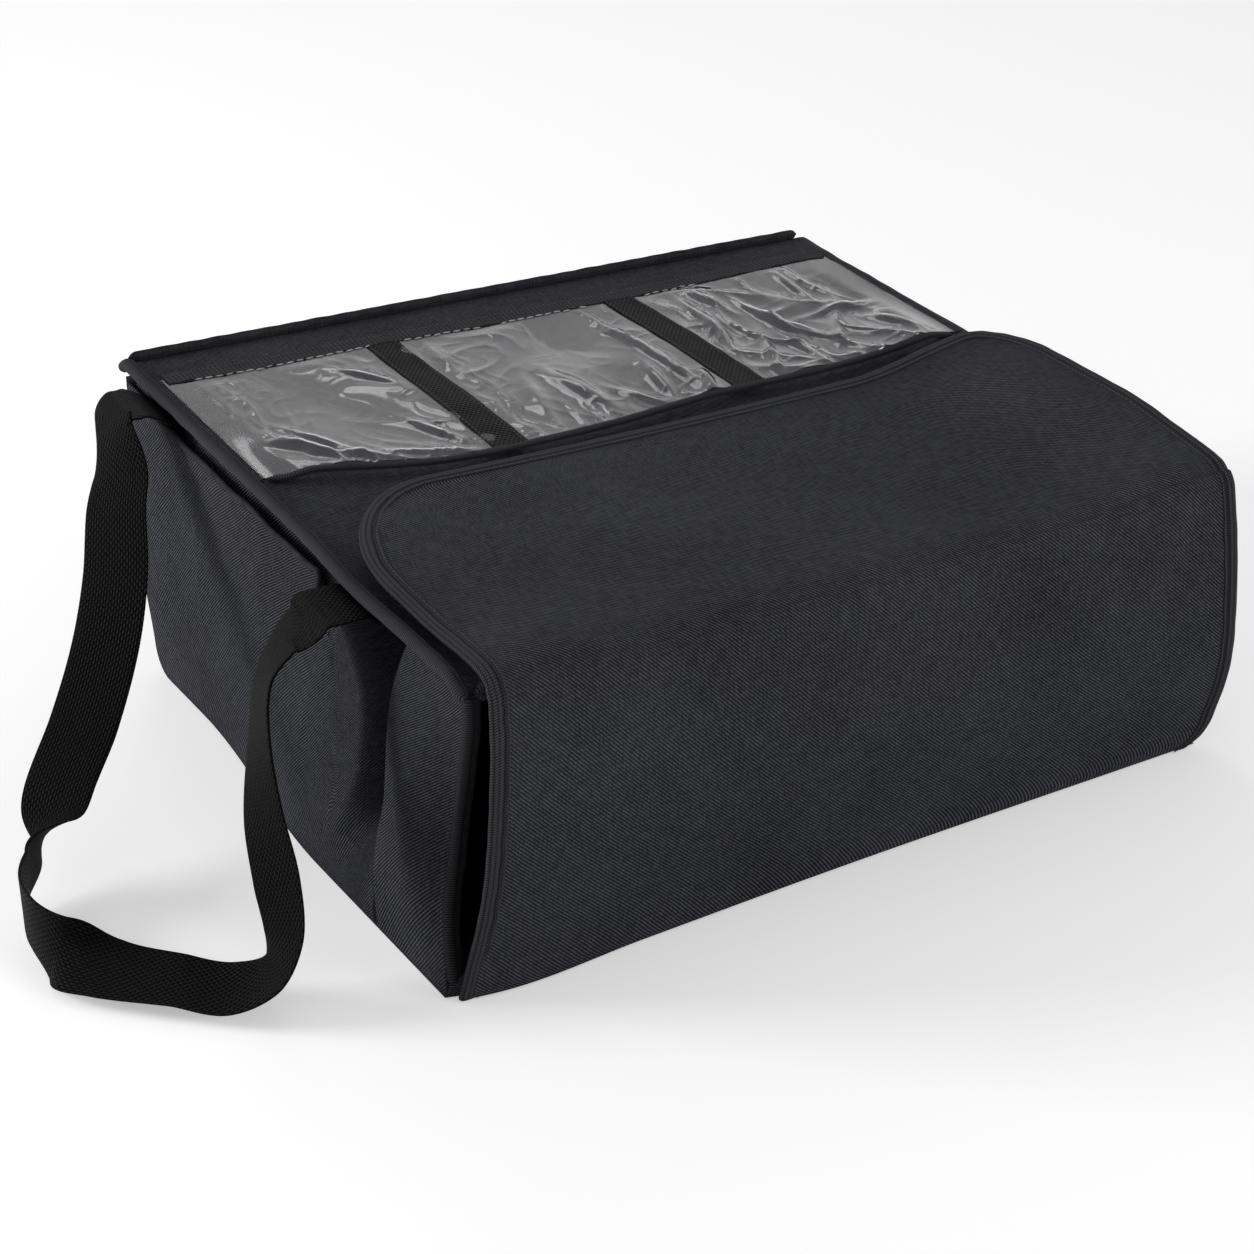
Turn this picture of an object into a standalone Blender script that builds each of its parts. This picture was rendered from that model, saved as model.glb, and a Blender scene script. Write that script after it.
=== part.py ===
"""Insulated delivery bag: a soft padded box with a hinged front flap, ticket pockets and webbing handles.

Metres, +Z up. The origin is under the bag's base, midway between its sides. The mouth faces -Y.
Every wall is a stack of sheets, and each sheet is a grid laid on its wall and extruded by its thickness.
"""

import math

import bmesh
import bpy
from mathutils import Matrix, Vector

# Overall body
WIDTH = 0.510
DEPTH = 0.4315
MOUTH_Y = -0.2065
BACK_LEFT_HEIGHT = 0.211
BACK_RIGHT_HEIGHT = 0.1965
FRONT_LEFT_HEIGHT = 0.188
FRONT_RIGHT_HEIGHT = 0.184
BACK_LEAN = 0.012
BACK_UPRIGHT_SHARE = 0.88
BACK_FOOT_RADIUS = 0.020
BACK_FOOT_SHARE = 0.3
TOP_SAG = 0.004
BACK_BULGE = 0.006

# Sheets, from the outside in
GAP = 0.0003
FABRIC = 0.0012
FOAM = 0.006
FLAP_FOAM = 0.0042
LINING = 0.0008
SLEEVE_SPACE = 0.0034
SEAM_GAP = 0.0008

# Webbing handles. Each leaves its side between the sleeve and the wall, under the piping. The left one
# tops an arch there and runs outwards, and the right one turns straight down.
WEBBING_WIDTH = 0.040
WEBBING = 0.0018
HANDLE_REAR_INSET = 0.062
HANDLE_FRONT_INSET = 0.1065
ANCHOR_DROP = 0.060
LEFT_APEX_REACH = 0.024
LEFT_REAR_APEX_RISE = 0.004
LEFT_FRONT_APEX_DROP = 0.004
RIGHT_APEX_REACH = 0.014
RIGHT_APEX_DROP = 0.016
APEX_LEVEL = 0.005
APEX_BROW = 0.013
APEX_BROW_DROP = 0.004
PASS_DROP = 0.006
PASS_OUT_SHARE = 0.25
LEFT_REACH = 0.159
RIGHT_REACH = 0.090
LOOP_SPREAD_SHARE = 1.27
LOOP_HEIGHT_SHARE = 0.960

# Side skins, measured back from the mouth
GUSSET_WIDTH = 0.0605
SEAM_BOW = 0.037
SLEEVE_DROP = 0.012
NOTCH_DROP = 0.018
NOTCH_LENGTH = 0.043
NOTCH_RAMP = 0.003
MOUTH_BOW = 0.018
VALLEY_PLACE = 0.1265
VALLEY_DEPTH = 0.011
VALLEY_SPREAD = 0.036
VALLEY_STRETCH = 0.12
GUSSET_CROWN_PLACE = 0.0415
GUSSET_BULGE = 0.008
GUSSET_SPREAD = 0.035
REAR_BULGE = 0.005
REAR_CROWN_INSET = 0.135
REAR_SPREAD = 0.080

# Cords and tapes round the edges
PIPING_RADIUS = 0.0045
MOUTH_BINDING_RADIUS = 0.0045
MOUTH_BINDING_END = 0.014
FLAP_BINDING_RADIUS = 0.0039
TAPE = 0.0015

# Ticket pockets on the top
PVC = 0.0005
POCKET_BACK_INSET = 0.037
POCKET_CLEAR = 0.040
POCKET_SIDE_INSET = 0.0125
POCKET_RISE = 0.012
POCKET_RAMP = 0.022
POCKET_BACK_RAMP = 0.050
LEFT_DIVIDER_SHARE = 0.297
RIGHT_DIVIDER_SHARE = 0.660
DIVIDER_WIDTH = 0.024
BACK_TAPE_WIDTH = 0.012
FRONT_TAPE_WIDTH = 0.010
SIDE_TAPE_WIDTH = 0.010
TAPE_LAP = 0.004

# Flap, and the hook and loop tape under its free end
FLAP_LEFT_INSET = 0.015
FLAP_RIGHT_INSET = 0.008
FLAP_FOOT_TUCK = 0.010
FLAP_FOOT_RAMP = 0.060
FLAP_FOOT_Z = 0.003
FLAP_BULGE = 0.021
FLAP_BEND_RADIUS = 0.022
FLAP_TOP_LENGTH = 0.1945
FLAP_CORNER_RADIUS = 0.045
LOOP_TAPE_WIDTH = 0.050
LOOP_TAPE_INSET = 0.023
LOOP_TAPE_END_INSET = 0.065

# Grid steps
TOP_STEPS = 10
WALL_STEPS = 8
SIDE_STEPS = 14
GUSSET_STEPS = 5
WINDOW_STEPS = 10
FRONT_TAPE_STEPS = 30
SIDE_TAPE_STEPS = 6
FLAP_STEPS = 12
TUBE_STEPS = 14
CORNER_STEPS = 8
LOOP_STEPS = 50
END_STEPS = 10
END_COLUMNS = 4
SEARCH_STEPS = 40
SHARP_ANGLE = math.radians(40)
TANGENT_SHARE = 0.0003

# The flap's front: how far up each point lies, and how much of the bulge it has
FLAP_FRONT_SHARES = ((0, 0), (0.14, 0.26), (0.30, 0.68), (0.46, 0.96), (0.62, 1.0), (0.76, 0.86))
FLAP_SHOULDER_SHARE = 0.62
FLAP_BEND_TURNS = (0, 30, 60, 90)
FLAP_TOP_SHARES = (0.16, 0.34, 0.55, 0.78, 1.0)
FLAP_SETTLE_SHARE = 0.3
FLAP_ROW_EASE = 1.7

# Where the flap's two halves part, as shares of its way from the foot to the free end
BEND_SHARE = 7.5 / 14
SPLIT_SHARE = 0.001
BINDING_SPLIT_SHARE = 0.005
CORNER_START_SHARE = 0.90

# Loop of the left handle, from the rear apex to the front one: how far out, forward and up the middle
# of the webbing lies, as shares of its reach, spread and height, and which way its width runs there.
LEFT_LOOP_SHARES = (
    (0.104, 0.054, 0.950, 0.45, -0.89, 0.00),
    (0.175, 0.123, 0.840, 0.70, -0.71, 0.00),
    (0.266, 0.207, 0.677, 0.86, -0.51, 0.00),
    (0.396, 0.296, 0.504, 0.90, -0.43, 0.00),
    (0.591, 0.392, 0.346, 0.92, -0.39, 0.05),
    (0.750, 0.455, 0.230, 0.88, -0.36, 0.30),
    (0.860, 0.485, 0.145, 0.60, 0.00, 0.80),
    (0.945, 0.535, 0.112, 0.15, 0.10, 0.98),
    (0.990, 0.610, 0.106, 0.05, 0.20, 0.98),
    (0.960, 0.710, 0.090, 0.30, 0.50, 0.78),
    (0.870, 0.812, 0.066, 0.42, 0.78, 0.48),
    (0.740, 0.900, 0.052, 0.42, 0.84, 0.36),
    (0.600, 0.965, 0.062, 0.28, 0.90, 0.30),
    (0.480, 1.000, 0.120, 0.05, 0.98, 0.10),
    (0.415, 0.992, 0.215, -0.15, 0.95, -0.20),
    (0.375, 0.955, 0.330, -0.20, 0.92, -0.30),
    (0.345, 0.895, 0.455, -0.10, 0.92, -0.35),
    (0.290, 0.830, 0.600, 0.15, 0.88, -0.42),
    (0.215, 0.788, 0.745, 0.25, 0.86, -0.40),
    (0.115, 0.778, 0.862, 0.15, 0.95, -0.20),
)
# The right handle hangs close to its side, and its loop stands out from it in the middle.
RIGHT_LOOP_SHARES = (
    (0.100, 0.015, 0.800, 0.00, -1.00, 0.00),
    (0.220, 0.040, 0.640, 0.00, -1.00, 0.00),
    (0.380, 0.080, 0.440, 0.10, -0.96, 0.10),
    (0.580, 0.130, 0.260, 0.30, -0.70, 0.60),
    (0.800, 0.220, 0.140, 0.25, -0.10, 0.95),
    (0.980, 0.350, 0.118, 0.20, 0.00, 0.97),
    (1.000, 0.480, 0.118, 0.15, 0.00, 0.98),
    (0.900, 0.600, 0.124, 0.20, 0.10, 0.96),
    (0.680, 0.700, 0.170, 0.30, 0.60, 0.70),
    (0.460, 0.745, 0.320, 0.10, 0.96, 0.10),
    (0.280, 0.765, 0.530, 0.00, 1.00, 0.00),
    (0.140, 0.775, 0.700, 0.00, 1.00, 0.00),
)

# Places that follow from the sizes above
BACK_Y = MOUTH_Y + DEPTH
SEAM_Y = MOUTH_Y + GUSSET_WIDTH
VALLEY_Y = MOUTH_Y + VALLEY_PLACE
GUSSET_CROWN_Y = MOUTH_Y + GUSSET_CROWN_PLACE
REAR_CROWN_Y = BACK_Y - REAR_CROWN_INSET
HANDLE_REAR_Y = BACK_Y - HANDLE_REAR_INSET
HANDLE_FRONT_Y = MOUTH_Y + HANDLE_FRONT_INSET
LOOP_SPREAD = (HANDLE_REAR_Y - HANDLE_FRONT_Y) * LOOP_SPREAD_SHARE
NOTCH_Y = HANDLE_FRONT_Y + NOTCH_LENGTH
POCKET_BACK_Y = BACK_Y - POCKET_BACK_INSET
POCKET_HALF_WIDTH = WIDTH / 2 - POCKET_SIDE_INSET
LEFT_DIVIDER_X = POCKET_HALF_WIDTH * (2 * LEFT_DIVIDER_SHARE - 1)
RIGHT_DIVIDER_X = POCKET_HALF_WIDTH * (2 * RIGHT_DIVIDER_SHARE - 1)
FLAP_LEFT_X = FLAP_LEFT_INSET - WIDTH / 2
FLAP_RIGHT_X = WIDTH / 2 - FLAP_RIGHT_INSET
FLAP_FREE_Y = MOUTH_Y + FLAP_TOP_LENGTH
POCKET_FRONT_Y = FLAP_FREE_Y + POCKET_CLEAR
LOOP_TAPE_BACK_Y = FLAP_FREE_Y - LOOP_TAPE_INSET
LOOP_TAPE_FRONT_Y = LOOP_TAPE_BACK_Y - LOOP_TAPE_WIDTH
LOOP_TAPE_HALF_LENGTH = WIDTH / 2 - LOOP_TAPE_END_INSET

# Depth of each sheet's outer face under the wall's outer surface
FOAM_DEPTH = FABRIC + GAP
LINING_DEPTH = FOAM_DEPTH + FOAM + GAP
INNER_DEPTH = LINING_DEPTH + LINING
SIDE_WALL_DEPTH = FABRIC + SLEEVE_SPACE
SIDE_FOAM_DEPTH = SIDE_WALL_DEPTH + FABRIC + GAP
SIDE_LINING_DEPTH = SIDE_FOAM_DEPTH + FOAM + GAP
FLAP_LINING_DEPTH = FOAM_DEPTH + FLAP_FOAM + GAP
FLAP_STACK = FLAP_LINING_DEPTH + LINING
TAPE_OVER = GAP + TAPE
TAPE_OVER_WINDOW = GAP + PVC + GAP + TAPE
FLAP_LIFT = 2 * TAPE_OVER + GAP + FLAP_STACK
FLAP_FOOT_Y = MOUTH_Y - 2 * MOUTH_BINDING_RADIUS - FLAP_STACK - 3 * GAP


def smooth(share):
    """0 to 1 with level ends."""
    share = min(max(share, 0), 1)
    return share * share * (3 - 2 * share)


def mix(low, high, share):
    return low + (high - low) * share


def hump(value, middle, spread):
    return math.exp(-(((value - middle) / spread) ** 2))


def section(points, share):
    """The stretch between two points that a share falls in, and how far along it."""
    last = len(points) - 1
    place = min(max(share, 0), 1) * last
    index = min(int(place), last - 1)
    return index, place - index


def curve_through(points, share):
    """Point at a share of a smooth curve through the points, which may be unevenly spaced."""
    index, t = section(points, share)
    before = points[max(index - 1, 0)]
    start, end = points[index], points[index + 1]
    after = points[min(index + 2, len(points) - 1)]
    length = (end - start).length
    leave = (end - before) * (length / (length + (start - before).length))
    arrive = (after - start) * (length / (length + (after - end).length))
    return (
        start * (2 * t**3 - 3 * t**2 + 1)
        + leave * (t**3 - 2 * t**2 + t)
        + end * (3 * t**2 - 2 * t**3)
        + arrive * (t**3 - t**2)
    )


# Surfaces of the body


def edge_height(x, y):
    """Height of the top's corners and edges, each corner at its own height."""
    across = x / WIDTH + 0.5
    back = (y - MOUTH_Y) / (BACK_Y - MOUTH_Y)
    front_height = mix(FRONT_LEFT_HEIGHT, FRONT_RIGHT_HEIGHT, across)
    back_height = mix(BACK_LEFT_HEIGHT, BACK_RIGHT_HEIGHT, across)
    return mix(front_height, back_height, back)


def top_height(x, y):
    across = min(max(x / WIDTH + 0.5, 0), 1)
    back = min(max((y - MOUTH_Y) / (BACK_Y - MOUTH_Y), 0), 1)
    sag = TOP_SAG * math.sin(math.pi * across) * math.sin(math.pi * back)
    return edge_height(x, y) - sag


def back_profile(x, z, margin):
    """How far back the wall lies at a height, drawn in by a margin, with a round foot."""
    middle = BACK_Y - BACK_LEAN - BACK_FOOT_RADIUS
    if z < BACK_FOOT_RADIUS:
        radius = BACK_FOOT_RADIUS - margin
        return middle + math.sqrt(max(radius**2 - (BACK_FOOT_RADIUS - z) ** 2, 0))
    rise = (z - BACK_FOOT_RADIUS) / (edge_height(x, BACK_Y) - BACK_FOOT_RADIUS)
    return BACK_Y - margin - BACK_LEAN * (1 - smooth(rise / BACK_UPRIGHT_SHARE))


def side_swell(y, up):
    """How far the side stands out from its flat plane: a valley behind the gusset, and two soft swells."""
    rear = smooth((BACK_Y - BACK_LEAN - y) / REAR_SPREAD)
    swell = REAR_BULGE * hump(y, REAR_CROWN_Y, REAR_SPREAD) * rear
    swell += GUSSET_BULGE * hump(y, GUSSET_CROWN_Y, GUSSET_SPREAD)
    swell -= VALLEY_DEPTH * hump(y, VALLEY_Y, VALLEY_SPREAD)
    return swell * math.sin(math.pi * min(max(up, 0), 1))


def side_column(low, high, across):
    """Columns between two ends of the side, set closer in the valley."""

    def stretched(y):
        return y + VALLEY_STRETCH * math.atan((y - VALLEY_Y) / VALLEY_SPREAD)

    target = mix(stretched(low), stretched(high), across)
    for _ in range(SEARCH_STEPS):
        middle = (low + high) / 2
        if stretched(middle) < target:
            low = middle
        else:
            high = middle
    return (low + high) / 2


def side_point(side, y, z, depth):
    """Point of the side's surface, drawn in by a depth. side is -1 on the left and 1 on the right."""
    up = z / edge_height(side * WIDTH / 2, y)
    return Vector((side * (WIDTH / 2 + side_swell(y, up) - depth), y, z))


def mouth_edge(up):
    return MOUTH_Y + MOUTH_BOW * math.sin(math.pi * min(max(up, 0), 1))


def seam_line(up):
    return SEAM_Y + SEAM_BOW * math.sin(math.pi * min(max(up, 0), 1))


def lapped(low, high, share, steps, low_lap, high_lap):
    """Even steps between two ends, but the first and last step, where there is a lap, are as long as it."""
    first = 1 if low_lap else 0
    last = steps - 1 if high_lap else steps
    step = share * steps
    if step < first:
        return low + low_lap * step
    if step > last:
        return high - high_lap * (steps - step)
    return mix(low + low_lap, high - high_lap, (step - first) / (last - first))


def window_rise(x, y, low, high):
    """A window lies down along its sides and back, where it is sewn, and stands open in front."""
    side_room = min(x - low, high - x) - DIVIDER_WIDTH / 2
    back_room = POCKET_BACK_Y - TAPE_LAP - y
    return POCKET_RISE * smooth(side_room / POCKET_RAMP) * smooth(back_room / POCKET_BACK_RAMP)


# Building solids


def material(name, colour, roughness, metallic=0.0):
    made = bpy.data.materials.new(name)
    made.use_nodes = True
    shader = made.node_tree.nodes["Principled BSDF"]
    shader.inputs["Base Color"].default_value = (*colour, 1)
    shader.inputs["Roughness"].default_value = roughness
    shader.inputs["Metallic"].default_value = metallic
    return made


def add_object(name, mesh_source, look, smooth_faces=True):
    bmesh.ops.recalc_face_normals(mesh_source, faces=mesh_source.faces)
    if mesh_source.calc_volume(signed=True) < 0:
        bmesh.ops.reverse_faces(mesh_source, faces=mesh_source.faces)
    mesh = bpy.data.meshes.new(name)
    mesh_source.to_mesh(mesh)
    mesh_source.free()
    if smooth_faces:
        mesh.shade_smooth()
        mesh.set_sharp_from_angle(angle=SHARP_ANGLE)
    mesh.materials.append(look)
    made = bpy.data.objects.new(name, mesh)
    bpy.context.scene.collection.objects.link(made)
    return made


def sheet(name, place, columns, rows, depth, thickness, look):
    """A grid laid out by place(across, along, depth), then extruded from its outer face by the thickness."""
    source = bmesh.new()
    bmesh.ops.create_grid(source, x_segments=columns, y_segments=rows, size=0.5)
    bmesh.ops.triangulate(source, faces=source.faces, quad_method="FIXED")
    source.verts.index_update()
    shares = {vert.index: (vert.co.x + 0.5, vert.co.y + 0.5) for vert in source.verts}
    for vert in source.verts:
        vert.co = place(*shares[vert.index], depth)
    outer = list(source.verts)
    inner_places = [place(*shares[vert.index], depth + thickness) for vert in outer]
    inner = [source.verts.new(point) for point in inner_places]
    pair = dict(zip(outer, inner))
    outer_faces = list(source.faces)
    rim = [edge for edge in source.edges if edge.is_boundary]
    for edge in rim:
        first, second = edge.verts
        source.faces.new((first, second, pair[second], pair[first]))
    for face in outer_faces:
        source.faces.new([pair[vert] for vert in reversed(face.verts)])
    return add_object(name, source, look)


def tube(name, points, radius, look, sides=8):
    """A round cord or rolled tape along the points, with flat ends."""
    curve = bpy.data.curves.new(name, "CURVE")
    curve.dimensions = "3D"
    curve.bevel_depth = radius
    curve.bevel_resolution = sides // 4 - 1
    curve.use_fill_caps = True
    spline = curve.splines.new("POLY")
    spline.points.add(len(points) - 1)
    for point, target in zip(spline.points, points):
        point.co = (*target, 1)
    curve.materials.append(look)
    made = bpy.data.objects.new(name, curve)
    bpy.context.scene.collection.objects.link(made)
    return made


def carry(holder, piece):
    """Parents a piece to an empty and leaves it where it stands."""
    piece.parent = holder
    piece.matrix_parent_inverse = Matrix.Translation(-holder.matrix_world.translation)


def hinge(name, place, pieces):
    """An empty on a joint's axis, with the pieces that turn about it."""
    made = bpy.data.objects.new(name, None)
    made.matrix_world = Matrix.Translation(place)
    bpy.context.scene.collection.objects.link(made)
    for piece in pieces:
        carry(made, piece)
    return made


# The body's walls


def make_top(looks):
    def place(across, along, depth):
        half = WIDTH / 2 - depth
        x = mix(-half, half, across)
        y = mix(MOUTH_Y, BACK_Y - depth, along)
        return Vector((x, y, top_height(x, y) - depth))

    sheet("top_panel", place, TOP_STEPS, WALL_STEPS, 0, FABRIC, looks["fabric"])
    sheet("top_foam", place, TOP_STEPS, WALL_STEPS, FOAM_DEPTH, FOAM, looks["foam"])
    sheet("top_lining", place, TOP_STEPS, WALL_STEPS, LINING_DEPTH, LINING, looks["lining"])


def make_bottom(looks):
    def place(across, along, depth):
        half = WIDTH / 2 - depth
        back = BACK_Y - BACK_LEAN - BACK_FOOT_RADIUS - GAP
        return Vector((mix(-half, half, across), mix(MOUTH_Y, back, along), depth))

    sheet("bottom_panel", place, 2, 2, 0, FABRIC, looks["fabric"])
    sheet("bottom_foam", place, 2, 2, FOAM_DEPTH, FOAM, looks["foam"])
    sheet("bottom_lining", place, 2, 2, LINING_DEPTH, LINING, looks["lining"])


def back_swell(x, z):
    rise = (z - BACK_FOOT_RADIUS) / (edge_height(x, BACK_Y) - BACK_FOOT_RADIUS)
    return BACK_BULGE * math.sin(math.pi * (x / WIDTH + 0.5)) * math.sin(math.pi * smooth(rise))


def make_back(looks):
    for name, outer_depth, thickness, look in (
        ("back_panel", 0, FABRIC, "fabric"),
        ("back_foam", FOAM_DEPTH, FOAM, "foam"),
        ("back_lining", LINING_DEPTH, LINING, "lining"),
    ):
        half = WIDTH / 2 - outer_depth
        inner_depth = outer_depth + thickness

        def place(across, along, depth, half=half, inner_depth=inner_depth):
            x = mix(-half, half, across)
            if along < BACK_FOOT_SHARE:
                turn = along / BACK_FOOT_SHARE * math.pi / 2
                radius = BACK_FOOT_RADIUS - depth
                y = BACK_Y - BACK_LEAN - BACK_FOOT_RADIUS + radius * math.sin(turn)
                return Vector((x, y, BACK_FOOT_RADIUS - radius * math.cos(turn)))
            top = top_height(x, BACK_Y - inner_depth) - inner_depth - GAP
            z = mix(BACK_FOOT_RADIUS, top, (along - BACK_FOOT_SHARE) / (1 - BACK_FOOT_SHARE))
            return Vector((x, back_profile(x, z, depth) + back_swell(x, z), z))

        sheet(name, place, WALL_STEPS, TOP_STEPS, outer_depth, thickness, looks[look])


def side_sheet(name, side, front, top_drop, depth, thickness, margin, columns, rows, look, rear=None):
    """A sheet of the side wall between a front line and the back wall or a rear line."""

    def place(across, along, at_depth):
        y = 0.0
        for _ in range(3):
            top = edge_height(side * WIDTH / 2, y) - top_drop(y)
            z = mix(margin, top, along)
            up = z / edge_height(side * WIDTH / 2, y)
            low = front(up)
            high = rear(up) if rear else back_profile(side * WIDTH / 2, z, margin) - GAP
            y = side_column(low, high, across)
        return side_point(side, y, z, at_depth)

    return sheet(name, place, columns, rows, depth, thickness, look)


def make_side(side, name, looks):
    def sleeve_drop(y):
        notch = smooth((NOTCH_Y + NOTCH_RAMP - y) / NOTCH_RAMP)
        return mix(SLEEVE_DROP, NOTCH_DROP, notch)

    def gusset_drop(y):
        return FABRIC + GAP

    def wall_drop(at_depth, thickness):
        """Room under the top's own sheets, at the inner face of this one."""
        inner_x = side * (WIDTH / 2 - at_depth - thickness)

        def drop(y):
            sag = edge_height(side * WIDTH / 2, y) - top_height(inner_x, y)
            return sag + INNER_DEPTH + GAP

        return drop

    skin_margin = FABRIC + GAP
    inner_margin = INNER_DEPTH + GAP
    side_sheet(
        f"{name}_side_sleeve", side, lambda up: seam_line(up) + SEAM_GAP, sleeve_drop,
        0, FABRIC, skin_margin, SIDE_STEPS, WALL_STEPS, looks["fabric"],
    )
    side_sheet(
        f"{name}_front_gusset", side, mouth_edge, gusset_drop,
        0, FABRIC, skin_margin, GUSSET_STEPS, WALL_STEPS, looks["fabric"], rear=seam_line,
    )
    for sheet_name, depth, thickness, look in (
        ("side_wall", SIDE_WALL_DEPTH, FABRIC, "fabric"),
        ("side_foam", SIDE_FOAM_DEPTH, FOAM, "foam"),
        ("side_lining", SIDE_LINING_DEPTH, LINING, "lining"),
    ):
        side_sheet(
            f"{name}_{sheet_name}", side, mouth_edge, wall_drop(depth, thickness),
            depth, thickness, inner_margin, SIDE_STEPS, WALL_STEPS, looks[look],
        )


def make_edges(looks):
    """Piping along the top's side edges, and the rolled tape round the mouth."""
    for side, name in ((-1, "left"), (1, "right")):
        out = side * (WIDTH / 2 + PIPING_RADIUS * math.sqrt(0.5) + GAP)
        rise = PIPING_RADIUS * math.sqrt(0.5) + GAP
        points = []
        for step in range(TUBE_STEPS + 1):
            y = mix(MOUTH_Y, BACK_Y, step / TUBE_STEPS)
            points.append(Vector((out, y, edge_height(side * WIDTH / 2, y) + rise)))
        tube(f"{name}_top_piping", points, PIPING_RADIUS, looks["tape"])

        points = []
        middle = (SIDE_LINING_DEPTH + LINING) / 2
        high = edge_height(side * WIDTH / 2, MOUTH_Y) - MOUTH_BINDING_END
        for step in range(TUBE_STEPS + 1):
            z = mix(MOUTH_BINDING_END, high, step / TUBE_STEPS)
            up = z / edge_height(side * WIDTH / 2, MOUTH_Y)
            y = mouth_edge(up)
            edge = side_point(side, y, z, middle)
            points.append(edge - Vector((0, MOUTH_BINDING_RADIUS + 2 * GAP, 0)))
        tube(f"mouth_binding_{name}", points, MOUTH_BINDING_RADIUS, looks["tape"])

    points = []
    half = WIDTH / 2 - MOUTH_BINDING_END
    for step in range(TUBE_STEPS + 1):
        x = mix(-half, half, step / TUBE_STEPS)
        z = top_height(x, MOUTH_Y) - INNER_DEPTH / 2
        points.append(Vector((x, MOUTH_Y - MOUTH_BINDING_RADIUS - GAP, z)))
    tube("mouth_binding_top", points, MOUTH_BINDING_RADIUS, looks["tape"])


# Ticket pockets


def make_pockets(looks):
    limits = (
        ("left", -POCKET_HALF_WIDTH, LEFT_DIVIDER_X),
        ("middle", LEFT_DIVIDER_X, RIGHT_DIVIDER_X),
        ("right", RIGHT_DIVIDER_X, POCKET_HALF_WIDTH),
    )

    lap = DIVIDER_WIDTH / 2
    for name, low, high in limits:
        def place(across, along, depth, low=low, high=high):
            x = lapped(low + GAP, high - GAP, across, WINDOW_STEPS, lap, lap)
            y = lapped(POCKET_FRONT_Y, POCKET_BACK_Y, along, WALL_STEPS, 0, TAPE_LAP)
            return Vector((x, y, top_height(x, y) + GAP + PVC + window_rise(x, y, low, high) - depth))

        sheet(f"pocket_window_{name}", place, WINDOW_STEPS, WALL_STEPS, 0, PVC, looks["pvc"])

    for name, x_middle in (("left", LEFT_DIVIDER_X), ("right", RIGHT_DIVIDER_X)):
        def place(across, along, depth, x_middle=x_middle):
            x = x_middle + (across - 0.5) * (DIVIDER_WIDTH - 4 * GAP)
            y = mix(POCKET_FRONT_Y + GAP, POCKET_BACK_Y - TAPE_LAP - GAP, along)
            return Vector((x, y, top_height(x, y) + TAPE_OVER_WINDOW - depth))

        sheet(f"pocket_divider_{name}", place, 1, WALL_STEPS, 0, TAPE, looks["webbing"])

    def back_tape(across, along, depth):
        x = mix(-POCKET_HALF_WIDTH, POCKET_HALF_WIDTH, across)
        y = mix(POCKET_BACK_Y - TAPE_LAP + GAP, POCKET_BACK_Y - TAPE_LAP + BACK_TAPE_WIDTH, along)
        return Vector((x, y, top_height(x, y) + TAPE_OVER_WINDOW - depth))

    sheet("pocket_back_tape", back_tape, TOP_STEPS, 1, 0, TAPE, looks["tape"])

    def front_tape(across, along, depth):
        x = mix(-POCKET_HALF_WIDTH, POCKET_HALF_WIDTH, across)
        y = mix(POCKET_FRONT_Y - FRONT_TAPE_WIDTH, POCKET_FRONT_Y - GAP, along)
        rise = max(window_rise(x, POCKET_FRONT_Y, low, high) for _, low, high in limits)
        return Vector((x, y, top_height(x, y) + TAPE_OVER + rise - depth))

    sheet("pocket_front_tape", front_tape, FRONT_TAPE_STEPS, 1, 0, TAPE, looks["tape"])

    for side, name in ((-1, "left"), (1, "right")):
        def place(across, along, depth, side=side):
            x = side * mix(POCKET_HALF_WIDTH + GAP, POCKET_HALF_WIDTH + SIDE_TAPE_WIDTH, across)
            y = mix(POCKET_FRONT_Y - FRONT_TAPE_WIDTH, POCKET_BACK_Y - TAPE_LAP + BACK_TAPE_WIDTH, along)
            return Vector((x, y, top_height(x, y) + TAPE_OVER - depth))

        sheet(f"pocket_{name}_tape", place, 1, SIDE_TAPE_STEPS, 0, TAPE, looks["tape"])


def fastening_strip(name, over, look):
    """One tape of the hook and loop pair, its upper face a little over the top."""

    def place(across, along, depth):
        x = mix(-LOOP_TAPE_HALF_LENGTH, LOOP_TAPE_HALF_LENGTH, across)
        y = mix(LOOP_TAPE_FRONT_Y, LOOP_TAPE_BACK_Y, along)
        return Vector((x, y, top_height(x, y) + over - depth))

    return sheet(name, place, TOP_STEPS, 1, 0, TAPE, look)


# Flap


def flap_profile(x):
    """Outer line of the flap at one place across: foot, swelling front, round bend, then along the top."""
    height = edge_height(x, MOUTH_Y) + FLAP_LIFT
    points = []
    for up_share, out_share in FLAP_FRONT_SHARES:
        z = mix(FLAP_FOOT_Z, height, up_share)
        points.append(Vector((x, FLAP_FOOT_Y - FLAP_BULGE * out_share, z)))
    middle_y = FLAP_FOOT_Y + FLAP_BEND_RADIUS - FLAP_BULGE * FLAP_SHOULDER_SHARE
    middle_z = height - FLAP_BEND_RADIUS
    for turn in FLAP_BEND_TURNS:
        angle = math.radians(turn)
        y = middle_y - FLAP_BEND_RADIUS * math.cos(angle)
        points.append(Vector((x, y, middle_z + FLAP_BEND_RADIUS * math.sin(angle))))
    for share in FLAP_TOP_SHARES:
        y = mix(middle_y, FLAP_FREE_Y, share)
        over_top = top_height(x, max(y, MOUTH_Y)) + FLAP_LIFT
        points.append(Vector((x, y, mix(height, over_top, smooth(share / FLAP_SETTLE_SHARE)))))
    return points


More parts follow.
